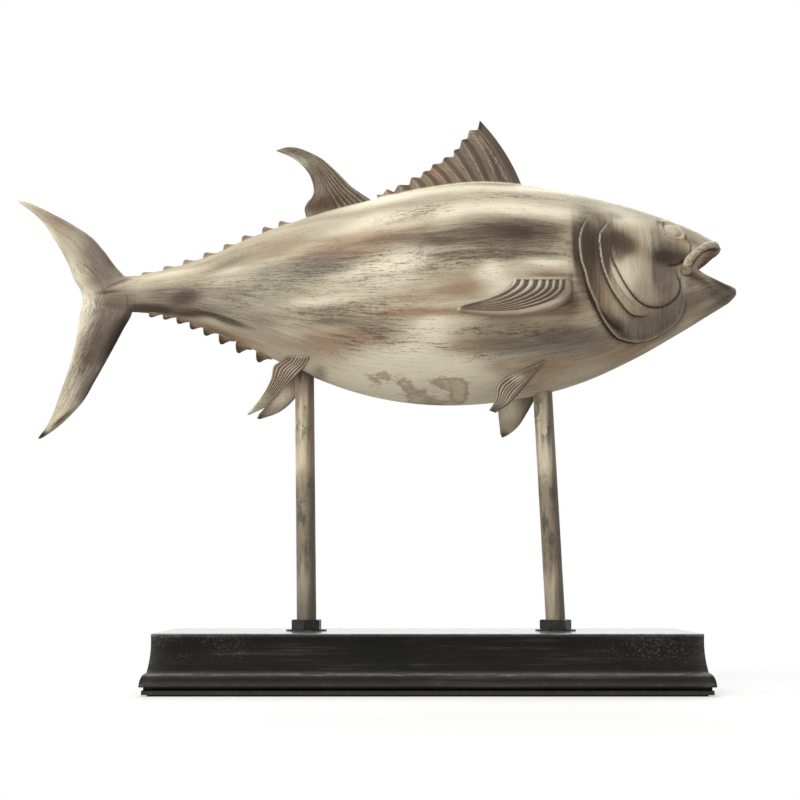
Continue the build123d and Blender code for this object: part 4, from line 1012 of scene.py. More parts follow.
# %% Blade helper
def blade(name, thick, rays, hides, strokes, front=None, rear=None, *, ridge_height, ridge_share,
          middle=None, to_world=None, rows=90, across=150, edge=1.4, shift=0.0, ray_end=1.0, groove=0.0,
          pale=0.0, band=None, band_tone=None, ray_tone=None, rear_plain=0.0):
    """Closed skin of a fin: middle(v, w) +- half thickness; w runs from the rear edge to the front.

    Rays fill w from 0 to ray_end. Half thickness = level * rounded rim - ridge_height in the
    grooves between them, with level from thick at the root to thick at the tip. A smooth band,
    if named, fills the rest up to the front edge. groove and pale are the strengths of the dark
    wash with painted shade in the grooves and of the pale paint with painted highlight on the
    rays, and ray_tone is a tone on the rays.
    """
    v = np.linspace(0, 1, rows)[:, None]
    even = np.linspace(0, 1, across)[None, :]
    w = 0.35 * (0.5 - 0.5 * np.cos(np.pi * even)) + 0.65 * even
    if middle is None:
        f, r = even_curve(front, v[:, 0]), even_curve(rear, v[:, 0])
        centre = r[:, None] * (1 - w[..., None]) + f[:, None] * w[..., None]
    else:
        centre = middle(v, w)
    if centre.shape[-1] == 2:
        centre = np.stack([centre[..., 0], 0 * centre[..., 0], centre[..., 1]], -1)
        n = np.zeros_like(centre)
        n[..., 1] = 1
    else:
        n = normals_of(centre)
        if n[..., 1].sum() < 0:
            n = -n
    along, over = reach_along(centre, 0), reach_along(centre, 1)
    rim = np.minimum(np.minimum(over, over[:, -1:] - over), np.minimum(along * 4, along[-1:] - along))
    rounded = np.sqrt(1 - (1 - np.clip(rim / edge, 0, 1)) ** 2)
    level = thick[0] + (thick[1] - thick[0]) * v
    limit = ray_end + 0 * v if band is None else ray_end + 0.24 * (1 - v) ** 2
    phase = w / limit * rays + shift + 0.16 * np.sin(9 * w + 3 * v)
    between_rays = phase - np.floor(phase)
    from_ray = np.abs(between_rays - 0.5) * 2
    in_rays = smooth(0.02, -0.02, w - limit) if ray_end < 1 else 1.0 + 0 * w
    crest = smooth(ridge_share + 0.25, ridge_share - 0.25, from_ray) * in_rays
    valley = smooth(ridge_share, min(ridge_share + 0.45, 1.0), from_ray) * in_rays
    fade = smooth(1.0, 0.80 if band is None else 0.92, v)
    half = (level / 2 - ridge_height * (1 - crest) * in_rays * fade) * rounded
    half = np.where(rounded > 0, np.maximum(half, 0.25 * rounded), 0)
    near, far = centre - n * half[..., None], centre + n * half[..., None]
    grids = np.concatenate([near.reshape(-1, 3), far.reshape(-1, 3)])
    faces = np.vstack([grid_faces(rows, across), grid_faces(rows, across, first=rows * across)[:, ::-1]])
    values = washes(centre[..., 0], centre[..., 2], strokes)
    # painted shade on the crests of the raised rays in the ray tone; ink also darkens the tips
    if ray_tone is not None:
        crest = np.maximum(crest, smooth(0.945, 0.965, w))
        values[ray_tone] = np.maximum(values[ray_tone], 0.68 * crest)
        values["ink"] = np.maximum(values["ink"], 0.8 * crest * smooth(0.90, 0.97, v))
    if band_tone is not None:
        on_band = smooth(ray_end - 0.01, ray_end + 0.05, w) * smooth(0.0, 0.25, v)
        values[band_tone] = np.maximum(values[band_tone], 0.65 * on_band)
    if band is not None:
        far_rear = 1 - 0.6 * smooth(0.45, 0.15, w) * smooth(0.35, 0.75, v)
        valley, crest = valley * far_rear, crest ** 1.6 * far_rear
    plain_rear = smooth(rear_plain - 0.15, rear_plain + 0.15, w) if rear_plain > 0 else 1.0
    # dark wash with painted shade in the grooves, pale paint with painted highlight on the rays
    values["recess"] = groove * valley * (0.35 + 0.65 * fade) * plain_rear
    values["ridge"] = pale * crest * in_rays * (0.5 + 0.5 * fade) * plain_rear
    if band is not None:
        # painted shade in the crease where the rays meet the smooth band
        under = bump_at(w - limit, 0.012, 0.030) * smooth(0.10, 0.35, v) * smooth(1.0, 0.95, v)
        values["recess"] = np.maximum(values["recess"], band * under)
    # painted highlight: a pale line just behind each ray, and pale at the fin's foot, matching the lit top of
    # the back
    if ray_tone is not None:
        behind = between_rays + smooth(0.90, 0.92, w) * (0.20 - between_rays + (w - 0.925) * 8)
        values["ridge"] = 0.50 * bump_at(behind, 0.20, 0.07) * smooth(0.0, 0.2, v)
        foot = smooth(5.4, 3.6, along)
        values = {key: a * (1 - 0.9 * foot) for key, a in values.items()}
        values["pale"] = np.maximum(values["pale"], foot)
    values = {key: np.concatenate([a.ravel(), a.ravel()]) for key, a in values.items()}
    flow = np.stack([v * along[-1].mean() + 0 * over, over, 3 + 0 * over], -1).reshape(-1, 3)
    flow = np.concatenate([flow, flow + (0, 0, 40)])
    if to_world is not None:
        grids = to_world(grids)
    return add_piece(name, grids, faces, fin_resin, values, flow, hides)


print("fins share one blade, painted with", fin_resin.name)

# %% [markdown]
# The tail is one crescent, cast with a hub that carries on the stem. Its two lobes are
# level sections in the CAD; here the same edge points run from the upper to the lower tip,
# as shares of the fin's reach and span. The hub is a short flattened spindle.

# %% Outline of the tail and its hub
tail_reach, tail_span = 78.0, 152.2
joint_z = belly_height + body_depth * (STATIONS[0, 1] + STATIONS[0, 3]) / 2
TAIL_ROWS = np.array([
    (0.396, 0.966, 1.000), (0.376, 0.853, 0.955), (0.340, 0.711, 0.860), (0.294, 0.545, 0.772),
    (0.241, 0.391, 0.705), (0.182, 0.285, 0.631), (0.123, 0.199, 0.570), (0.064, 0.099, 0.524),
    (-0.005, 0.036, 0.452), (-0.081, 0.050, 0.468), (-0.147, 0.115, 0.483), (-0.219, 0.186, 0.505),
    (-0.291, 0.259, 0.537), (-0.370, 0.342, 0.582), (-0.442, 0.419, 0.629), (-0.508, 0.528, 0.672),
    (-0.557, 0.631, 0.721), (-0.587, 0.712, 0.763), (-0.602, 0.759, 0.781),
])
tail_z = joint_z + TAIL_ROWS[:, 0] * tail_span
tail_lead = np.stack([tail_joint_x - TAIL_ROWS[:, 1] * tail_reach, tail_z], -1)
tail_trail = np.stack([tail_joint_x - TAIL_ROWS[:, 2] * tail_reach, tail_z], -1)
# painted shade along the lower lobe's leading edge (shade, ink, umber and grey strokes) and painted highlight
# along the trailing edges (the thin pale strokes)
TAIL_STROKES = [
    ("rose", -231, 290, 20, 7, -38, 0.65), ("sage", -216, 277, 30, 10, -42, 0.85),
    ("grey", -207, 267, 18, 9, -50, 0.85), ("dry", -214, 262, 14, 6, 0, 0.95),
    ("grey", -203, 254, 12, 9, 0, 0.85), ("umber", -199, 246.5, 9, 1.6, 6, 0.80),
    ("rose", -196, 239, 12, 6, 0, 0.60), ("grey", -201, 233, 12, 10, 0, 0.55),
    ("shade", -190, 226, 5, 13, -30, 0.85), ("ink", -194.5, 216, 4, 12, -32, 0.95),
    ("shade", -198, 211, 7, 18, -30, 0.85), ("grey", -205, 216, 14, 30, -24, 0.95),
    ("umber", -208, 212, 6, 22, -22, 0.60), ("dry", -213, 206, 9, 28, -22, 1.0),
    ("dry", -208, 236, 12, 10, 0, 0.9), ("pale", -220.5, 217, 2.6, 24, -10, 0.95),
    ("pale", -216, 240, 3.5, 8, -10, 0.8), ("sage", -217, 188, 9, 15, -30, 0.75),
    ("umber", -227, 167, 11, 1.6, 42, 0.90), ("ink", -240, 157, 5, 3, 35, 0.95),
    ("pale", -256, 304, 8, 3.5, -25, 0.7), ("umber", -247, 300.5, 11, 1.1, -25, 0.30),
    ("sage", -240, 296, 14, 5, -32, 0.5), ("grey", -188, 243, 14, 8, 4, 0.50),
    ("grey", -230, 293.5, 18, 4, -30, 0.55), ("grey", -208, 277, 16, 5, -48, 0.85),
    ("umber", -200, 268, 10, 4, -54, 0.5), ("pale", -238, 286, 14, 3.5, -56, 0.9),
    ("pale", -222, 262, 4, 14, 20, 0.6), ("pale", -212, 233, 7, 15, -6, 0.95),
    ("umber", -192, 222, 6, 16, -30, 0.80), ("grey", -197, 228, 8, 14, -20, 0.60),
    ("grey", -194, 262, 12, 6, -50, 0.70), ("umber", -179, 236, 8, 5, 0, 0.80),
    ("grey", -211, 186, 6, 16, -32, 0.9), ("shade", -207, 190, 3, 14, -32, 0.6),
    # the last two strokes paint the crease where the upper lobe leaves the hub: a line of painted shade
    # beside a painted highlight
    ("umber", -193, 252.5, 12, 1.1, 25, 0.7), ("pale", -191, 250.5, 10, 1.5, 22, 0.6),
]
# half thickness of the blade at each of the rows
TAIL_HALF = [1.6, 1.9, 2.3, 2.8, 3.3, 3.9, 4.4, 4.8, 5.0, 4.9, 4.6, 4.2, 3.8, 3.3, 2.9, 2.4, 2.0, 1.8, 1.6]
hub_front_x, hub_length = tail_joint_x + 3.0, 38.0
hub_rows, hub_turns = 40, 48
hub_s = np.linspace(0, 1, hub_rows)
# share of the hub's length, half height, half width
hub_knots = np.array([(0.0, 10.6, 7.2), (0.08, 11.6, 7.9), (0.30, 11.4, 7.3), (0.55, 9.2, 5.6),
                      (0.80, 5.6, 3.6), (1.0, 1.2, 0.8)])
hub_tall = np.interp(hub_s, hub_knots[:, 0], hub_knots[:, 1])
hub_wide = np.interp(hub_s, hub_knots[:, 0], hub_knots[:, 2])


def hub_rise(x, z):
    """Height above the hub's axis as a share of its half height there."""
    return (z - joint_z) / np.interp((hub_front_x - x) / hub_length, hub_s, hub_tall)


def hub_half(x, z):
    """Half width of the hub where the crescent meets it: wide * sqrt(1 - rise^2)."""
    wide = np.interp((hub_front_x - x) / hub_length, hub_s, hub_wide)
    return wide * np.sqrt(np.clip(1 - hub_rise(x, z) ** 2, 0, 1))


print("hub half height and half width:", hub_tall.max().round(1), hub_wide.max().round(1))

# %% [markdown]
# Across each section the blade is a lens whose thick side leads. Where it meets the hub it
# swells: the sum of three forms' cubes, and the cube root of that, joins them with a soft
# fillet, which a boolean union would leave as a hard crease.

# %% Skin of the tail
def tail_skin():
    """Middle surface and half thickness of the crescent: level * lens(w), thin at tips and rear."""
    rows, across = 230, 60
    u = np.linspace(0, len(TAIL_ROWS) - 1, rows)
    lead, trail = curve_at(tail_lead, u), curve_at(tail_trail, u)
    w = (0.5 - 0.5 * np.cos(np.pi * np.linspace(0, 1, across)))[None, :]
    centre = lead[:, None] * (1 - w[..., None]) + trail[:, None] * w[..., None]
    centre = np.stack([centre[..., 0], 0 * centre[..., 0], centre[..., 1]], -1)
    level = np.interp(u, range(len(TAIL_HALF)), TAIL_HALF)
    lens = np.sqrt(np.clip(1 - (2 * w ** 0.8 - 1) ** 2, 0, 1)) * (1 - 0.35 * w)
    tips = np.sqrt(np.clip(np.minimum(u, u[-1] - u) / 0.6, 0, 1))
    half = level[:, None] * lens * tips[:, None]
    rays = 0.16 * np.sin(2 * np.pi * (6 * w + 0.25 * np.sin(u / 2)[:, None])) * smooth(0.05, 0.3, w) * lens
    half = np.maximum(half + rays * tips[:, None] * smooth(0, 2, half), 0)
    lobe_edge = np.sqrt(np.clip(np.minimum(w, 1 - w) / 0.10, 0, 1))
    near_hub = (0.96 + 0.08 * smooth(0.02, 0.30, w)) * hub_half(centre[..., 0], centre[..., 2])
    soft = hub_half(centre[..., 0] + 3, joint_z + (centre[..., 2] - joint_z) * 0.6) * 0.55
    half = (half ** 3 + (near_hub * lobe_edge) ** 3 + (soft * lobe_edge) ** 3) ** (1 / 3)
    half[:, 0] = half[:, -1] = 0
    half[0] = half[-1] = 0
    return centre, half, u, w


centre, half, tail_u, tail_w = tail_skin()
near, far = centre.copy(), centre.copy()
near[..., 1] -= half
far[..., 1] += half
print("tail's half thickness up to", half.max().round(1), "mm")

# %% [markdown]
# The strokes colour the tail like the body. The flow runs along each lobe, from one tip to
# the other, but round the hub it follows the body's, so the streaks carry on over the joint.

# %% Paint of the tail, and the hub
rows, across = half.shape
tail_points = [near.reshape(-1, 3), far.reshape(-1, 3)]
tail_faces = [grid_faces(rows, across), grid_faces(rows, across, first=rows * across)[:, ::-1]]
tail_values = washes(centre[..., 0], centre[..., 2], TAIL_STROKES)
tail_values["recess"] = 0 * half
# painted highlight: paler along the trailing edge
tail_values["ridge"] = 0.4 * bump_at(tail_w, 1, 0.12) + 0 * half
tail_values = {key: np.tile(a.ravel(), 2) for key, a in tail_values.items()}
across_width = np.linalg.norm(tail_lead - tail_trail, axis=1)
tail_wide = np.interp(tail_u, range(len(TAIL_ROWS)), across_width)
tail_middle = 0.5 * (curve_at(tail_lead, tail_u) + curve_at(tail_trail, tail_u))
tail_along = reach_along(tail_middle, 0)
fibre = np.stack([tail_along[:, None] * 1.6 + 0 * half, tail_w * tail_wide[:, None] * 0.75, 0 * half], -1)
rise = hub_rise(centre[..., 0], centre[..., 2])
on_hub = (np.abs(rise) < 0.92) & (centre[..., 0] > tail_joint_x - 18)
tail_flow = []
for face_side in (-1, 1):
    sideways = face_side * flow_round * np.sqrt(np.clip(1 - rise ** 2, 0, 1))
    round_hub = np.stack([centre[..., 0], sideways, flow_round * rise], -1)
    along_fin = fibre + (0, 0, 20 + 20 * face_side)
    tail_flow.append(np.where(on_hub[..., None], round_hub, along_fin).reshape(-1, 3))

hub_x = hub_front_x - hub_s * hub_length
hub_a = 2 * np.pi * np.arange(hub_turns) / hub_turns
crest = 1 + 0.14 * bump_at(np.abs(np.cos(hub_a)), 1, 0.03) * smooth(0.08, 0.4, hub_s)[:, None]
hub = np.stack([np.repeat(hub_x[:, None], hub_turns, 1), hub_wide[:, None] * np.cos(hub_a) * crest,
                joint_z + hub_tall[:, None] * np.sin(hub_a)], -1)
hub = np.concatenate([np.repeat(hub[:1].mean(1, keepdims=True), hub_turns, 1), hub,
                      np.repeat(hub[-1:].mean(1, keepdims=True), hub_turns, 1)])
hub_values = washes(hub[..., 0], hub[..., 2], TAIL_STROKES + BODY_STROKES)
hub_values["recess"] = hub_values["ridge"] = 0 * hub[..., 0]
tail_points.append(hub.reshape(-1, 3))
tail_faces.append(grid_faces(len(hub), hub_turns, around=True, first=2 * rows * across)[:, ::-1])
round_hub = (hub[..., 0], flow_round * np.cos(hub_a), flow_round * np.sin(hub_a))
tail_flow.append(np.stack(np.broadcast_arrays(*round_hub), -1).reshape(-1, 3))
tail_values = {key: np.concatenate([a, hub_values[key].ravel()]) for key, a in tail_values.items()}
add_piece("tail", np.vstack(tail_points), np.vstack(tail_faces), resin, tail_values,
          np.vstack(tail_flow), ("tail_fin",))

# %% [markdown]
# The first dorsal fin has ten rays that lean back and curve, each ending in a point, with
# the web between them drawn down in a notch. The tallest ray is its front edge. Roots are
# shares of the fin's length, and the stepped edge is given in shares of length and height.

# %% First dorsal fin
first_x, first_length, first_height = tail_joint_x + 0.394 * body_length, 95.0, 44.0
first_z = float(back_z(first_x + first_length))
RAY_ROOTS = [0.997, 0.862, 0.775, 0.689, 0.602, 0.501, 0.410, 0.320, 0.226, 0.140, 0.030]
EDGE = [(0.705, 0.991), (0.688, 0.852), (0.635, 0.842), (0.620, 0.722), (0.582, 0.700), (0.568, 0.580),
        (0.531, 0.545), (0.525, 0.452), (0.468, 0.439), (0.445, 0.357), (0.389, 0.334), (0.371, 0.252),
        (0.325, 0.225), (0.304, 0.139), (0.243, 0.139), (0.228, 0.032), (0.156, 0.027), (0.125, -0.075),
        (0.079, -0.034), (0.050, -0.110), (0.010, -0.120)]


def first_dorsal_middle(v, w):
    """Rays as bent lines: root + v * (tip - root) + 4 v (1 - v) * bulge, w from rear to front."""
    k = (1 - w[0]) * (len(RAY_ROOTS) - 1)
    root_x = first_x + np.interp(k, range(len(RAY_ROOTS)), RAY_ROOTS) * first_length
    root = np.stack([root_x, back_z(root_x) - 3.0], -1)
    straight = np.stack([np.interp(2 * k, range(len(EDGE)), column) for column in np.array(EDGE).T], -1)
    tip = 0.45 * curve_at(EDGE, 2 * k) + 0.55 * straight
    tip = tip * (first_length, first_height) + (first_x, first_z)
    reach = tip - root
    bulge = np.stack([reach[:, 1], -reach[:, 0]], -1) * 0.055
    return root + v[..., None] * reach + 4 * (v * (1 - v))[..., None] * bulge


FIRST_STROKES = [
    ("rose", 20, 324, 62, 8, -1, 0.60), ("sage", 42, 338, 22, 18, 45, 0.40),
    ("rose", 36, 350, 12, 8, 50, 0.45), ("ink", 37, 358, 3, 4, 0, 0.40), ("grey", 48, 332, 34, 24, 20, 0.80),
    # painted highlight along the fin's foot on the back: the pale stroke at 10, 309
    ("pale", 10, 309, 64, 4, 4, 0.85), ("umber", 65, 326, 7, 20, 28, 0.60), ("dry", 40, 330, 60, 40, 0, 0.7),
]
blade("first_dorsal", (5.8, 2.6), 10, ("first_dorsal_fin",), FIRST_STROKES, middle=first_dorsal_middle,
      rows=80, across=241, edge=1.2, ridge_height=0.55, ridge_share=0.38, shift=0.40, ray_tone="shade")

# %% [markdown]
# The second dorsal fin is a short sickle with a small foot behind it. Its rays follow a
# calm rear curve, so the foot doesn't bend them. Like all the flat fins it is thick at the
# root and thin at the rim.

# %% Second dorsal fin
second_x, second_length, second_height = tail_joint_x + 0.228 * body_length, 60.0, 47.0
second_z = float(back_z(second_x + 0.305 * second_length))


def placed(shares, start_x, length, base_z, height):
    """Turn shares of a fin's length and height into X and Z."""
    return [(start_x + sx * length, base_z + sz * height) for sx, sz in shares]


second_place = (second_x, second_length, second_z, second_height)
second_end = [(0.339, 0.647), (0.262, 0.762), (0.153, 0.868), (0.000, 0.950)]
second_front = placed([(1.020, 0.200), (1.000, 0.272), (0.805, 0.449), (0.641, 0.662), (0.478, 0.847),
                       (0.260, 0.981), (0.120, 1.004), (0.000, 0.962)], *second_place)
second_rear = placed([(0.350, -0.060), (0.318, 0.050), (0.303, 0.150), (0.332, 0.235), (0.373, 0.294),
                      (0.398, 0.394), (0.382, 0.521)] + second_end, *second_place)
second_calm = placed([(0.520, -0.060), (0.490, 0.190), (0.460, 0.294), (0.430, 0.394),
                      (0.395, 0.521)] + second_end, *second_place)
SECOND_STROKES = [
    ("dry", -70, 320, 40, 40, 0, 0.9), ("umber", -64, 305, 18, 6, 14, 0.8),
    ("pale", -86, 332, 16, 5, -5, 0.8), ("grey", -72, 318, 22, 18, -30, 0.6),
    ("rose", -64, 306, 20, 7, 10, 0.6), ("umber", -58, 304, 22, 4, 14, 0.45),
    ("sage", -88, 335, 14, 4, -10, 0.6),
]


def second_dorsal_middle(v, w):
    """calm * (1 - w) + front * w + (rear - calm) * (1 - w)^5: the foot bends only the rear-most part."""
    lines = (second_front, second_rear, second_calm)
    front, rear, calm = (even_curve(line, v[:, 0])[:, None] for line in lines)
    w = w[..., None]
    return calm * (1 - w) + front * w + (rear - calm) * (1 - w) ** 5


blade("second_dorsal", (5.4, 2.1), 9, ("second_dorsal_fin",), SECOND_STROKES, middle=second_dorsal_middle,
      ridge_height=0.30, ridge_share=0.18, groove=0.55, pale=0.60, rear_plain=0.30)

# %% [markdown]
# The pectoral fins lie against the flanks. Their rays leave a nearly level root line and
# sweep down and back to a point. A thick smooth band follows the leading, lower edge. The
# points are shares along the fin, up it, and out from the flank.

# %% Pectoral fins
pectoral_x, pectoral_z = tail_joint_x + 0.524 * body_length, belly_height + 0.330 * body_depth
pectoral_length, pectoral_height, pectoral_flare = 70.7, 26.0, 12.0
PECTORAL_LEAD = [(0.985, 1.040, -0.30), (1.000, 0.760, 0.20), (0.993, 0.600, 0.40), (0.930, 0.400, 0.65),
                 (0.830, 0.238, 0.85), (0.689, 0.096, 1.00), (0.562, 0.031, 1.00), (0.462, 0.012, 1.00),
                 (0.349, 0.015, 0.98), (0.208, 0.054, 0.90), (0.095, 0.104, 0.80), (0.010, 0.170, 0.66)]
PECTORAL_REAR = [(0.505, 1.040, -0.25), (0.462, 0.790, 0.02), (0.370, 0.590, 0.20), (0.270, 0.460, 0.33),
                 (0.161, 0.365, 0.44), (0.060, 0.285, 0.54), (0.010, 0.220, 0.58)]
PECTORAL_STROKES = [
    ("umber", 30, 232, 20, 6, 20, 0.35), ("pale", 62, 244, 26, 8, 12, 0.55),
    ("rose", 45, 226, 40, 10, 6, 0.35), ("shade", 26, 231, 9, 1.8, 6, 0.7),
    ("pale", 18, 228.5, 3.5, 2.5, 0, 0.9), ("pale", 53, 247.5, 4.5, 3, 20, 0.95),
    # painted shade along the fin's root: the umber line at 247
    ("umber", 70, 247, 26, 2.0, 0, 0.6), ("pale", 66, 228, 26, 5, 8, 0.40), ("rose", 60, 226, 26, 5, 4, 0.3),
]
for name, side in (("right", RIGHT), ("left", LEFT)):
    def pectoral_point(shares):
        """Shares along, up and out from the flank to a point."""
        a = np.array(shares, float)
        x = pectoral_x + a[:, 0] * pectoral_length
        out = flank_y(x, pectoral_z + 0.8 * pectoral_height) + a[:, 2] * pectoral_flare
        return np.stack([x, side * out, pectoral_z + a[:, 1] * pectoral_height], -1)

    blade("pectoral_" + name, (5.0, 2.8), 7, ("pectoral_fin_" + name,), PECTORAL_STROKES,
          pectoral_point(PECTORAL_LEAD), pectoral_point(PECTORAL_REAR), across=190, edge=1.8,
          ridge_height=0.50, ridge_share=0.16, ray_end=0.69, groove=0.80, pale=0.85, band=1.1)

# %% [markdown]
# The pelvic and anal fins hang below the belly in pairs. Each is a flat blade that leans
# outward, so its outline is drawn upright, tilted about the root and then moved there.
# Outlines and strokes are in shares of the fin's length and height from its lower corner.

# %% Outlines of the hanging fins
pelvic_corner = (tail_joint_x + 0.577 * body_length, belly_height - 0.130 * body_depth)
anal_corner = (tail_joint_x + 0.186 * body_length, belly_height - 0.055 * body_depth)
FAMILIES = {"pelvic": (pelvic_corner, 35.0, 41.0), "anal": (anal_corner, 38.0, 41.0)}
# distance of the root from the middle, lean in degrees, rays, front edge, rear edge
HANGING = {
    "pelvic_right": (25.0, 30.0, 6,
                     [(1.010, 1.060), (0.931, 0.949), (0.783, 0.802), (0.646, 0.656), (0.474, 0.485),
                      (0.311, 0.345), (0.100, 0.225)],
                     [(0.000, 0.262), (0.074, 0.363), (0.125, 0.485), (0.150, 0.640), (0.250, 0.755),
                      (0.480, 0.865), (0.800, 0.980), (0.985, 1.050)]),
    "pelvic_left": (15.0, 14.0, 4,
                    [(1.030, 1.080), (0.989, 0.720), (0.903, 0.559), (0.774, 0.363), (0.646, 0.193),
                     (0.489, 0.071), (0.350, 0.005)],
                    [(0.330, 0.008), (0.303, 0.071), (0.286, 0.193), (0.263, 0.363), (0.246, 0.559),
                     (0.250, 1.080)]),
    "anal_right": (11.0, 9.0, 8,
                   [(1.030, 0.870), (0.982, 0.785), (0.811, 0.615), (0.639, 0.444), (0.495, 0.273),
                    (0.324, 0.127), (0.060, 0.002)],
                   [(0.020, 0.010), (0.132, 0.138), (0.245, 0.284), (0.324, 0.410), (0.398, 0.577),
                    (0.425, 0.744), (0.500, 0.810), (0.660, 0.900)]),
    "anal_left": (11.0, 9.0, 5,
                  [(0.968, 1.050), (0.916, 0.688), (0.837, 0.493), (0.732, 0.334), (0.587, 0.200),
                   (0.416, 0.102), (0.150, 0.020)],
                  [(0.100, 0.029), (0.139, 0.102), (0.232, 0.200), (0.350, 0.334), (0.468, 0.493),
                   (0.508, 0.688), (0.521, 1.150)]),
}
HANGING_STROKES = {
    "pelvic_right": [("shade", 0.08, 0.27, 7, 4, 42, 1.0), ("ink", 0.03, 0.23, 4, 3.5, 0, 0.8),
                     ("ink", 0.30, 0.36, 9, 1.4, 36, 0.6), ("pale", 0.52, 0.80, 6, 4, 30, 0.7),
                     ("rose", 0.75, 0.95, 12, 8, 0, 0.6)],
    "pelvic_left": [("pale", 0.45, 0.45, 9, 18, 0, 0.75), ("shade", 0.84, 0.47, 2.2, 13, -30, 0.65),
                    ("rose", 0.70, 0.85, 10, 8, 0, 0.5), ("umber", 0.37, 0.04, 4, 4, 0, 0.70),
                    ("rose", 0.50, 0.20, 8, 6, 0, 0.5)],
    "anal_right": [("pale", 0.80, 0.80, 12, 6, 40, 0.60), ("rose", 0.45, 0.60, 14, 8, 48, 0.6),
                   ("pale", 0.18, 0.16, 11, 5, 42, 0.75), ("umber", 0.03, 0.01, 3, 2, 0, 0.5)],
    # painted shadow of the near anal fin: the shade line along this fin's rear edge
    "anal_left": [("umber", 0.13, 0.04, 5, 3.5, 30, 0.80), ("shade", 0.30, 0.28, 15, 1.8, 50, 0.70),
                  ("pale", 0.55, 0.38, 12, 6, 42, 0.7), ("rose", 0.75, 0.60, 10, 8, 30, 0.6)],
}
print("hanging fins:", ", ".join(HANGING))

# %% [markdown]
# Tilting makes a fin lower, so the upright outline is first drawn out by 1 / cos(lean). At
# the root the blade is pushed out as far as the flank's skin, so that it sits on the body
# like the real fin in its seat. Only the near fins show ribs, and the front one has a dark
# smooth band along its leading edge.

# %% Build the hanging fins
for name, (root_y, lean, rays, front, rear) in HANGING.items():
    family, hand = name.split("_")
    (corner_x, corner_z), length, height = FAMILIES[family]
    side = RIGHT if hand == "right" else LEFT
    root_x = corner_x + (front[1][0] + rear[-2][0]) * length / 2
    root_z = float(under_z(root_x, root_y))
    stretch = 1 / math.cos(math.radians(lean))

    def upright(shares):
        """Shares to millimetres from the root, drawn out so that the tilted fin keeps its height."""
        return [(corner_x + sx * length - root_x, (corner_z + sz * height - root_z) * stretch)
                for sx, sz in shares]

    strokes = [(kind, *upright([(sx, sz)])[0], *rest) for kind, sx, sz, *rest in HANGING_STROKES[name]]
    tilt = math.radians(side * lean)

    def hang(points):
        """Tilt about X by the lean, move to the root, and lift the root clear of the flank's skin."""
        x = points[:, 0] + root_x
        y = side * (points[:, 1] * math.cos(tilt) - points[:, 2] * math.sin(tilt)) + root_y
        z = side * points[:, 1] * math.sin(tilt) + points[:, 2] * math.cos(tilt) + root_z
        lift = np.clip(flank_y(x, z) + 0.9 - y + side * points[:, 1], 0, 12) * smooth(-6, 2, z - root_z)
        return np.stack([x, side * (y + lift), z], -1)

    ribs = {"ridge_height": 0.55, "groove": 0.65, "pale": 0.80} if hand == "right" else {"ridge_height": 0.05}
    band = {"ray_end": 0.84, "band_tone": "ink"} if name == "pelvic_right" else {}
    blade(name, (4.6, 2.2), rays, (family + "_fin_" + hand,), strokes, upright(front), upright(rear[::-1]),
          to_world=hang, rows=80, across=130, ridge_share=0.24, **ribs, **band)

# %% [markdown]
# The plinth is a wooden block with a planed moulding: a flat top, a shallow hollow, a
# rounded bead and a dark recess above the bottom board. Its section is a line of points,
# each an offset outward from the top's edge and a height, in the order from the underside
# to the middle of the top.

# %% Section of the plinth
plinth_half_x, plinth_half_y = 161.5, 50.0
plinth_top, board_top, recess_top, bead_top = 36.0, 3.4, 5.4, 13.3
cove_out, bead_out, cove_hollow, edge_round = 2.1, 3.9, 0.9, 0.9
recess_inset, bead_ease = 2.4, 0.3
cove_t = np.linspace(0, 1, 16)
cove = np.stack([cove_out * (1 - cove_t) - cove_hollow * 4 * cove_t * (1 - cove_t),
                 bead_top + (plinth_top - edge_round - bead_top) * cove_t], -1)
bead_a = np.linspace(0, np.pi / 2, 12)
bead = np.stack([cove_out + bead_out * np.cos(bead_a),
                 recess_top + (bead_top - recess_top) * np.sin(bead_a)], -1)
round_a = np.linspace(0.15, 1, 6) * np.pi / 2
top_round = edge_round * np.stack([np.cos(round_a) - 1, np.sin(round_a) - 1], -1) + (0, plinth_top)
bead_foot = cove_out + bead_out
section = np.vstack([
    [(-30, board_top), (bead_foot - recess_inset, board_top), (bead_foot - recess_inset, recess_top),
     (bead_foot - bead_ease, recess_top)], bead[:1] + (0, bead_ease), bead[1:], cove[1:], top_round[1:],
    [(-2.0, plinth_top), (-14, plinth_top), (-49.9, plinth_top)],
])
print("section points:", len(section))

# %% [markdown]
# The section is swept round the rectangle with small worn corners. A bevelled box would
# give the outline, but not the hollow and the bead in one clean skin. On the flat top the
# outline is scaled instead of offset, so that the corners don't fold, and faint dents keep
# the sides from being perfectly straight.

# %% Sweep round the rectangle
side_steps_x, side_steps_y, corner_steps = 150, 50, 7
corner_radius, inset_from = 1.3, -1.5


def plinth_path():
    """Points round the rectangle with the outward direction at each, corners as small arcs."""
    inner_x, inner_y = plinth_half_x - corner_radius, plinth_half_y - corner_radius
    points, outs = [], []
    corners = ((1, 1), (-1, 1), (-1, -1), (1, -1))
    for quarter, (sx, sy) in enumerate(corners):
        a = np.pi / 2 * quarter + np.linspace(0, np.pi / 2, corner_steps)
        d = np.stack([np.cos(a), np.sin(a)], -1)
        points.append(np.array([sx * inner_x, sy * inner_y]) + d * corner_radius)
        outs.append(d * np.minimum(1 / np.maximum(np.abs(d).max(1), 0.7), 1.4)[:, None])
        steps = side_steps_x if quarter in (0, 2) else side_steps_y
        nx, ny = corners[(quarter + 1) % 4]
        end = np.array([nx * inner_x, ny * inner_y]) + corner_radius * d[-1]
        t = np.linspace(0, 1, steps + 1)[1:-1, None]
        points.append(points[-1][-1] * (1 - t) + end * t)
        outs.append(np.repeat(d[-1:], steps - 1, 0))
    return np.vstack(points), np.vstack(outs)


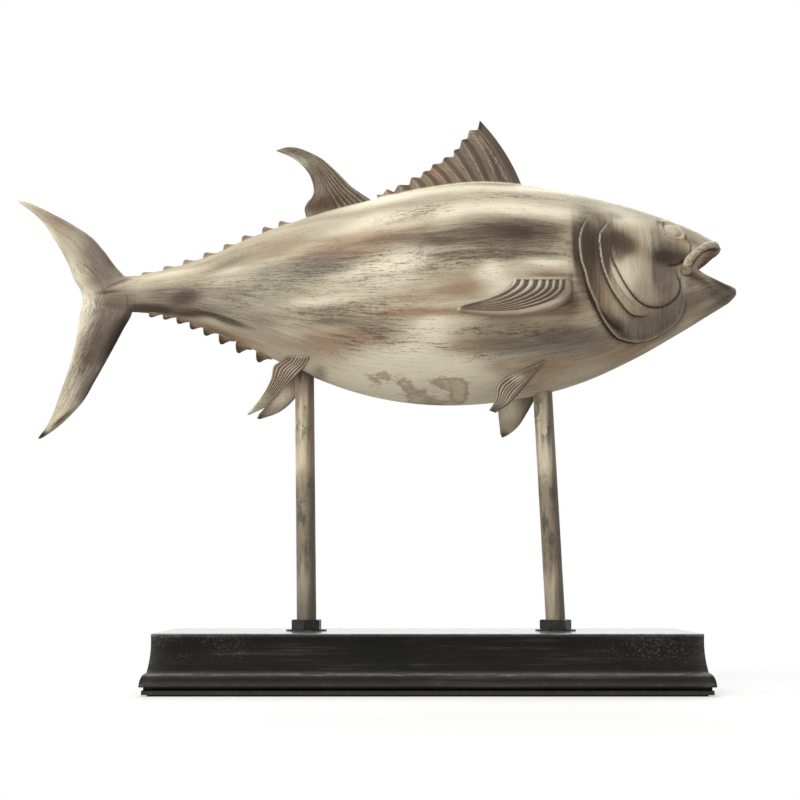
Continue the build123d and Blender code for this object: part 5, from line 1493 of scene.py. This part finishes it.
path_points, path_outs = plinth_path()
ring_count = len(path_points)
offset = section[:, 0][:, None, None]
swept = path_points[None] + offset * path_outs[None]
inset = section[:, 0] < inset_from
shrink = np.clip(1 + section[:, 0] / plinth_half_y, 0.0, 1)[:, None, None]
swept = np.where(inset[:, None, None], path_points[None] * shrink, swept)
plinth = np.concatenate([swept, np.repeat(section[:, 1][:, None, None], ring_count, 1)], -1)
dents = 0.10 * np.sin(plinth[..., 0] / 23 + plinth[..., 1] / 11) * np.sin(plinth[..., 0] / 7.3)
on_side = (section[:, 0] > inset_from)[:, None]
plinth[..., :2] += path_outs[None] * (dents * on_side)[..., None]
plinth = np.concatenate([np.repeat(plinth[:1].mean(1, keepdims=True), ring_count, 1), plinth,
                         np.repeat(plinth[-1:].mean(1, keepdims=True), ring_count, 1)])
print("plinth grid:", plinth.shape[:2])

# %% [markdown]
# Black paint wears through first where hands and cloths rub: at the top's edge, on the bead,
# and at the corners. The pale lines along the top's edge and the bead are also painted
# highlight. The wear and highlight is a sum of soft hills over the height and of a fall
# with the distance from a corner, and the ends of the long sides are scuffed.

# %% Wear and painted highlight on the plinth
heights = plinth[..., 2]
corner_gap = np.minimum(np.abs(np.abs(plinth[..., 0]) - plinth_half_x), 60) + np.minimum(
    np.abs(np.abs(plinth[..., 1]) - plinth_half_y), 60)
wear_and_highlight = (0.75 * bump_at(heights, plinth_top - 0.4, 0.7) + 0.75 * bump_at(heights, bead_top - 0.6, 1.0)
        + 0.45 * bump_at(heights, recess_top + 1.6, 1.6) + 0.55 * np.exp(-corner_gap / 5))
scuff = bump_at(np.abs(plinth[..., 0]), plinth_half_x, 45) * smooth(16, 26, heights)
plinth_values = {"wear_and_highlight": np.clip(wear_and_highlight, 0, 1.2), "recess": (heights < recess_top - 0.1) * 1.0,
                 "top": smooth(plinth_top - 0.3, plinth_top - 0.05, heights), "scuff": scuff}
print("worn share of the plinth's points:", (wear_and_highlight > 0.3).mean().round(2))

# %% [markdown]
# Ebonised wood is nearly black, but its grain and its scratches are grey, and the streaks
# and the top also carry painted reflection. Layers of noise, stretched along the length, are
# laid over the black one after the other, each with its own colour and mask. A wood texture
# node would show rings, which black stain hides.

# %% Black wood
def black_wood():
    """Black stain rubbed back at edges, also painted paler there as highlight, with grey streaks along the
    length, partly grain and partly painted reflection, and pale specks.

    The top is dark satin under a clear coat, and is painted grey as well: a painted reflection of the pale
    room at a shallow angle.
    """
    material, tree, shader = new_tree("black_wood")
    place = object_place(tree)
    long_streaks = noise(tree, place, 1.0, 6.0, 0.65, (9, 60, 260))
    fine = noise(tree, place, 1.0, 5.0, 0.7, (110, 500, 700))
    clouds = noise(tree, place, 1.0, 4.0, 0.6, (14, 20, 30))
    specks = noise(tree, place, 1.0, 3.0, 0.6, (850, 850, 850))
    top, wear_and_highlight = attribute(tree, "top"), attribute(tree, "wear_and_highlight")
    colour = mix(tree, ramp(tree, clouds, 0.35, 0.7), srgb("#0b0a0a"), srgb("#151413"))
    # grey streaks along the length: the grain, and painted reflection in the brush marks
    streak = times(tree, ramp(tree, long_streaks, 0.50, 0.70), ramp(tree, clouds, 0.38, 0.62))
    colour = layer(tree, colour, streak, 0.50, "#565350")
    # painted reflection: the top is painted grey, as its satin coat mirrors the pale room at a shallow angle
    colour = layer(tree, colour, top, ramp(tree, long_streaks, 0.25, 0.60, 0.62, 1.0), "#77756f")
    # wear, with painted highlight along the top's edge and the bead
    colour = layer(tree, colour, wear_and_highlight, 0.50, "#6f6b65")
    colour = layer(tree, colour, broken(tree, wear_and_highlight, fine, 1.7, 0.45, 0.95), 0.6, "#8a857b")
    scuffed = times(tree, ramp(tree, specks, 0.52, 0.62), attribute(tree, "scuff"))
    colour = layer(tree, colour, times(tree, scuffed, ramp(tree, clouds, 0.40, 0.60)), 0.42, "#7d7a73")
    dots = times(tree, ramp(tree, specks, 0.70, 0.76), ramp(tree, clouds, 0.45, 0.65))
    colour = layer(tree, colour, dots, 0.6, "#9b968b")
    # painted shade: the recess above the bottom board is made near-black
    colour = mix(tree, attribute(tree, "recess"), colour, srgb("#050505"))
    tree.links.new(colour, shader.inputs["Base Color"])
    gloss = maths(tree, "SUBTRACT", ramp(tree, fine, 0.2, 0.8, 0.50, 0.68), times(tree, top, 0.34))
    tree.links.new(gloss, shader.inputs["Roughness"])
    tree.links.new(top, shader.inputs["Coat Weight"])
    for socket, value in (("Specular IOR Level", 0.14), ("Coat Roughness", 0.18), ("Coat IOR", 1.6)):
        shader.inputs[socket].default_value = value
    bump(tree, shader, weighted(tree, (long_streaks, 0.6), (fine, 0.5)), 0.0008, 0.6)
    return material


add_piece("plinth", plinth, grid_faces(len(plinth), ring_count, around=True), black_wood(),
          plinth_values, None, ("plinth_block",))

# %% [markdown]
# The rods are painted like the fish: brown painted shade at the top, cream in the middle
# with grey-green mottling, painted shade on the side towards the head, and dark grey-brown
# just above the nut. They and the hidden pieces keep their CAD form, so they only get a material.

# %% Painted rods
rod_foot_z = 0.046


def post_paint(name, foot_x, lean, foot_tone):
    """Mottled paint by height z: noise blotches over a gradient, and painted shade on the side towards +X.

    The painted shade starts at x = foot_x - lean * (z - rod_foot_z), the line of the leaning rod.
    """
    material, tree, shader = new_tree(name)
    place = object_place(tree)
    split = tree.nodes.new("ShaderNodeSeparateXYZ")
    tree.links.new(place, split.inputs[0])
    x, z = split.outputs["X"], split.outputs["Z"]
    blotch = noise(tree, place, 1.0, 5.0, 0.65, (190, 190, 55))
    fine = noise(tree, place, 1.0, 5.0, 0.7, (700, 700, 500))
    tall = noise(tree, place, 1.0, 4.0, 0.6, (300, 300, 26))
    colour = mix(tree, ramp(tree, tall, 0.35, 0.65), srgb("#ddd0b5"), srgb("#b5a488"))
    upper = weighted(tree, z, (blotch, 0.03))
    waist = times(tree, ramp(tree, upper, 0.075, 0.100), ramp(tree, upper, 0.155, 0.135))
    colour = layer(tree, colour, waist, 0.78, "#665440")
    # painted shade: brown towards the top, under the fish
    colour = layer(tree, colour, ramp(tree, upper, 0.180, 0.205), 0.70, "#8a6f56")
    colour = layer(tree, colour, ramp(tree, upper, 0.203, 0.212), 0.9, "#4a3a2d")
    # painted shade on the side towards +X
    shaded_side = maths(tree, "SUBTRACT", weighted(tree, x, (tall, 0.006)), foot_x)
    shaded_side = weighted(tree, shaded_side, (maths(tree, "SUBTRACT", z, rod_foot_z), lean))
    colour = mix(tree, ramp(tree, shaded_side, 0.001, 0.008, 0.0, 0.78), colour, srgb("#4c4032"))
    blots = weighted(tree, (blotch, 0.70), (fine, 0.30))
    high = times(tree, ramp(tree, z, 0.145, 0.160), ramp(tree, z, 0.185, 0.172))
    low = times(tree, ramp(tree, z, 0.065, 0.085), ramp(tree, z, 0.140, 0.125))
    spots = times(tree, ramp(tree, blots, 0.47, 0.60), weighted(tree, high, low))
    colour = layer(tree, colour, spots, 0.85, "#3d3d34")
    foot = ramp(tree, weighted(tree, z, (fine, 0.012)), 0.112, 0.048)
    colour = layer(tree, colour, foot, foot_tone, "#4a4338")
    tree.links.new(colour, shader.inputs["Base Color"])
    tree.links.new(ramp(tree, blotch, 0.2, 0.8, 0.40, 0.62), shader.inputs["Roughness"])
    bump(tree, shader, blots, 0.0005, 0.5)
    return material


rear_paint = post_paint("rear_paint", -0.0736, math.tan(math.radians(0.9)), 0.85)
front_paint = post_paint("front_paint", 0.0797, math.tan(math.radians(2.6)), 0.55)
print("painted rods:", rear_paint.name, front_paint.name)

# %% [markdown]
# The nuts and washers are blackened steel, worn grey in places. The hidden pieces have
# plain finishes too, because the part may be taken apart in another scene: brass sleeves,
# bright dowels and screws, a stained board, and felt whose short fibres are a fine noise.

# %% Metal and felt
def metal(name, dark, light, shine, metallic, scale=400.0, relief=0.0002):
    """Worn metal or lacquer: two tones broken by noise, with fine scratches in the relief."""
    material, tree, shader = new_tree(name)
    place = object_place(tree)
    grain = noise(tree, place, scale, 5.0, 0.65)
    scratch = noise(tree, place, 1.0, 4.0, 0.6, (scale * 3, scale * 3, scale * 0.3))
    colour = mix(tree, ramp(tree, grain, 0.45, 0.70), srgb(dark), srgb(light))
    tree.links.new(colour, shader.inputs["Base Color"])
    tree.links.new(ramp(tree, scratch, 0.2, 0.8, shine - 0.08, shine + 0.12), shader.inputs["Roughness"])
    shader.inputs["Metallic"].default_value = metallic
    bump(tree, shader, scratch, relief, 0.5)
    return material


def felt():
    """Dark felt: short fibres as high noise, with a soft rough surface."""
    material, tree, shader = new_tree("felt")
    place = object_place(tree)
    fibres = noise(tree, place, 1600.0, 4.0, 0.7)
    patches = noise(tree, place, 30.0, 3.0, 0.5)
    colour = mix(tree, fibres, srgb("#0f0f10"), srgb("#232324"))
    colour = layer(tree, colour, patches, 0.3, "#2c2b29")
    tree.links.new(colour, shader.inputs["Base Color"])
    shader.inputs["Roughness"].default_value = 0.95
    bump(tree, shader, fibres, 0.0004, 0.8)
    return material


finishes = {
    "rear_paint": rear_paint, "front_paint": front_paint, "felt": felt(),
    "black_steel": metal("black_steel", "#0c0c0c", "#2a2927", 0.38, 0.35),
    "board_wood": metal("board_wood", "#100f0e", "#24211e", 0.6, 0.0, 90.0, 0.0004),
    "brass": metal("brass", "#a8853f", "#c7a75c", 0.3, 1.0),
    "steel": metal("steel", "#7d7f82", "#a3a5a8", 0.32, 1.0),
}
print("finishes:", ", ".join(finishes))

# %% [markdown]
# Last, each CAD piece that shows its own form gets its finish in every material slot.

# %% Finishes of the CAD pieces
NODE_FINISH = {"rear_post": "rear_paint", "front_post": "front_paint", "tail_dowels": "steel",
               "board_screws": "steel", "bottom_board": "board_wood", "felt_sheet": "felt"}
for end in ("rear_", "front_"):
    NODE_FINISH[end + "post_insert"] = "brass"
    for piece in ("top_nut", "top_washer", "bottom_nut", "bottom_washer"):
        NODE_FINISH[end + piece] = "black_steel"
for name, finish in NODE_FINISH.items():
    node_object = frame["nodes"][name]
    for material_slot in node_object.material_slots:
        material_slot.material = finishes[finish]
print("finished CAD nodes:", len(NODE_FINISH))
